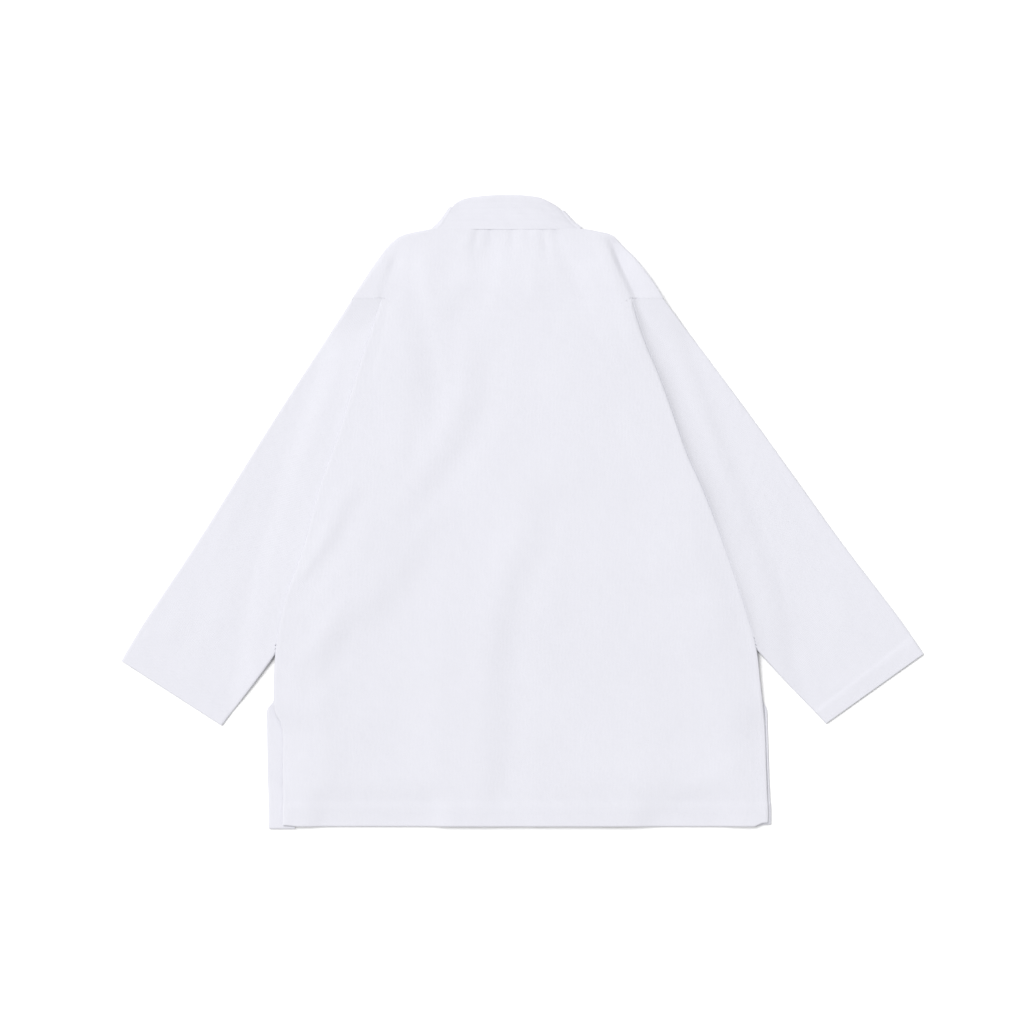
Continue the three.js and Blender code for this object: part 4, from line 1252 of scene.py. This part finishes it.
for inset in HEM_INSETS:
    body_thread.row(on_back(*hem_path(inset)))
body_thread.row(on_back(*straight(*YOKE_ROW)), height=YOKE_HEIGHT)
rows = back.level < VENT_ROWS_FROM
for side in (-1, 1):
    for inset in VENT_INSETS:
        edge = back.ends[side][rows][:-4]
        body_thread.row(on_back(edge[:, 0] - side * inset, edge[:, 1]))
for ends in ARMHOLE_ROWS:
    body_thread.row(on_back(*straight(*ends)), height=ARMHOLE_HEIGHT)
for name, sleeve in sleeves.items():
    for inset in CUFF_INSETS:
        index = int(np.argmin(np.abs(sleeve.from_cuff - inset)))
        distance = np.linspace(6, sleeve.width[index, 0] - 6, 50)[None, :]
        scaled = distance / sleeve.width[index, 0] * sleeve.width
        plan = sleeve.at(scaled)
        upper, lower = max(index - 1, 0), min(index + 1, len(plan) - 1)
        above, below = sleeve.from_cuff[upper], sleeve.from_cuff[lower]
        share = np.clip((above - inset) / (above - below + 1e-9), 0, 1)
        x, y = mix(plan[upper], plan[lower], share).T
        sleeve_thread.row(np.stack([x, y, sleeve_top(rest_sleeve, x, y, HEM_EXTRA)], -1))
stitch_pieces = [body_thread.make(), sleeve_thread.make()]

# ---- Each piece on the root body, in place of the CAD part of its name ----
for name, piece in pieces.items():
    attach(piece, "root")
    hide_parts(name)
for piece in stitch_pieces:
    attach(piece, "root")

# ---- Studio, in metres ----
FLOOR_SIZE, FLOOR_LEVEL = 8, -0.0008
WORLD_LIGHT = 0.6
KEY_X, KEY_Y, KEY_Z, KEY_SIZE, KEY_POWER = -7.6, 6.6, 25.0, 14.0, 6400
CAMERA_X, CAMERA_HEIGHT, SCALE_LEVEL = -0.01365, 8.0, 0.008
SENSOR, PHOTO_WIDTH, PIXEL = 36, 1024, 0.0013

scene = bpy.context.scene
bpy.ops.mesh.primitive_plane_add(size=FLOOR_SIZE, location=(0, 0, FLOOR_LEVEL))
floor = bpy.context.object
floor.name = "floor"
floor.data.materials.append(floor_material())

world = bpy.data.worlds.new("studio")
world.use_nodes = True
feed(world.node_tree, world.node_tree.nodes["Background"], Color=(1, 1, 1, 1), Strength=WORLD_LIGHT)
scene.world = world

light = bpy.data.lights.new("key", "AREA")
light.shape = "DISK"
light.size = KEY_SIZE
light.energy = KEY_POWER
key = placed("key", light)
key.location = (KEY_X, KEY_Y, KEY_Z)
key.rotation_euler = (math.atan2(math.hypot(KEY_X, KEY_Y), KEY_Z), 0,
                      math.atan2(KEY_Y, KEY_X) + math.pi / 2)

camera_data = bpy.data.cameras.new("camera")
camera_data.sensor_width = SENSOR
camera_data.lens = SENSOR * (CAMERA_HEIGHT - SCALE_LEVEL) / (PHOTO_WIDTH * PIXEL)
camera_data.clip_end = 100
camera = placed("camera", camera_data)
camera.location = (CAMERA_X, 0.0, CAMERA_HEIGHT)
scene.camera = camera

scene.view_settings.view_transform = "Standard"
scene.view_settings.look = "None"
scene.view_settings.exposure = 0
scene.view_settings.gamma = 1
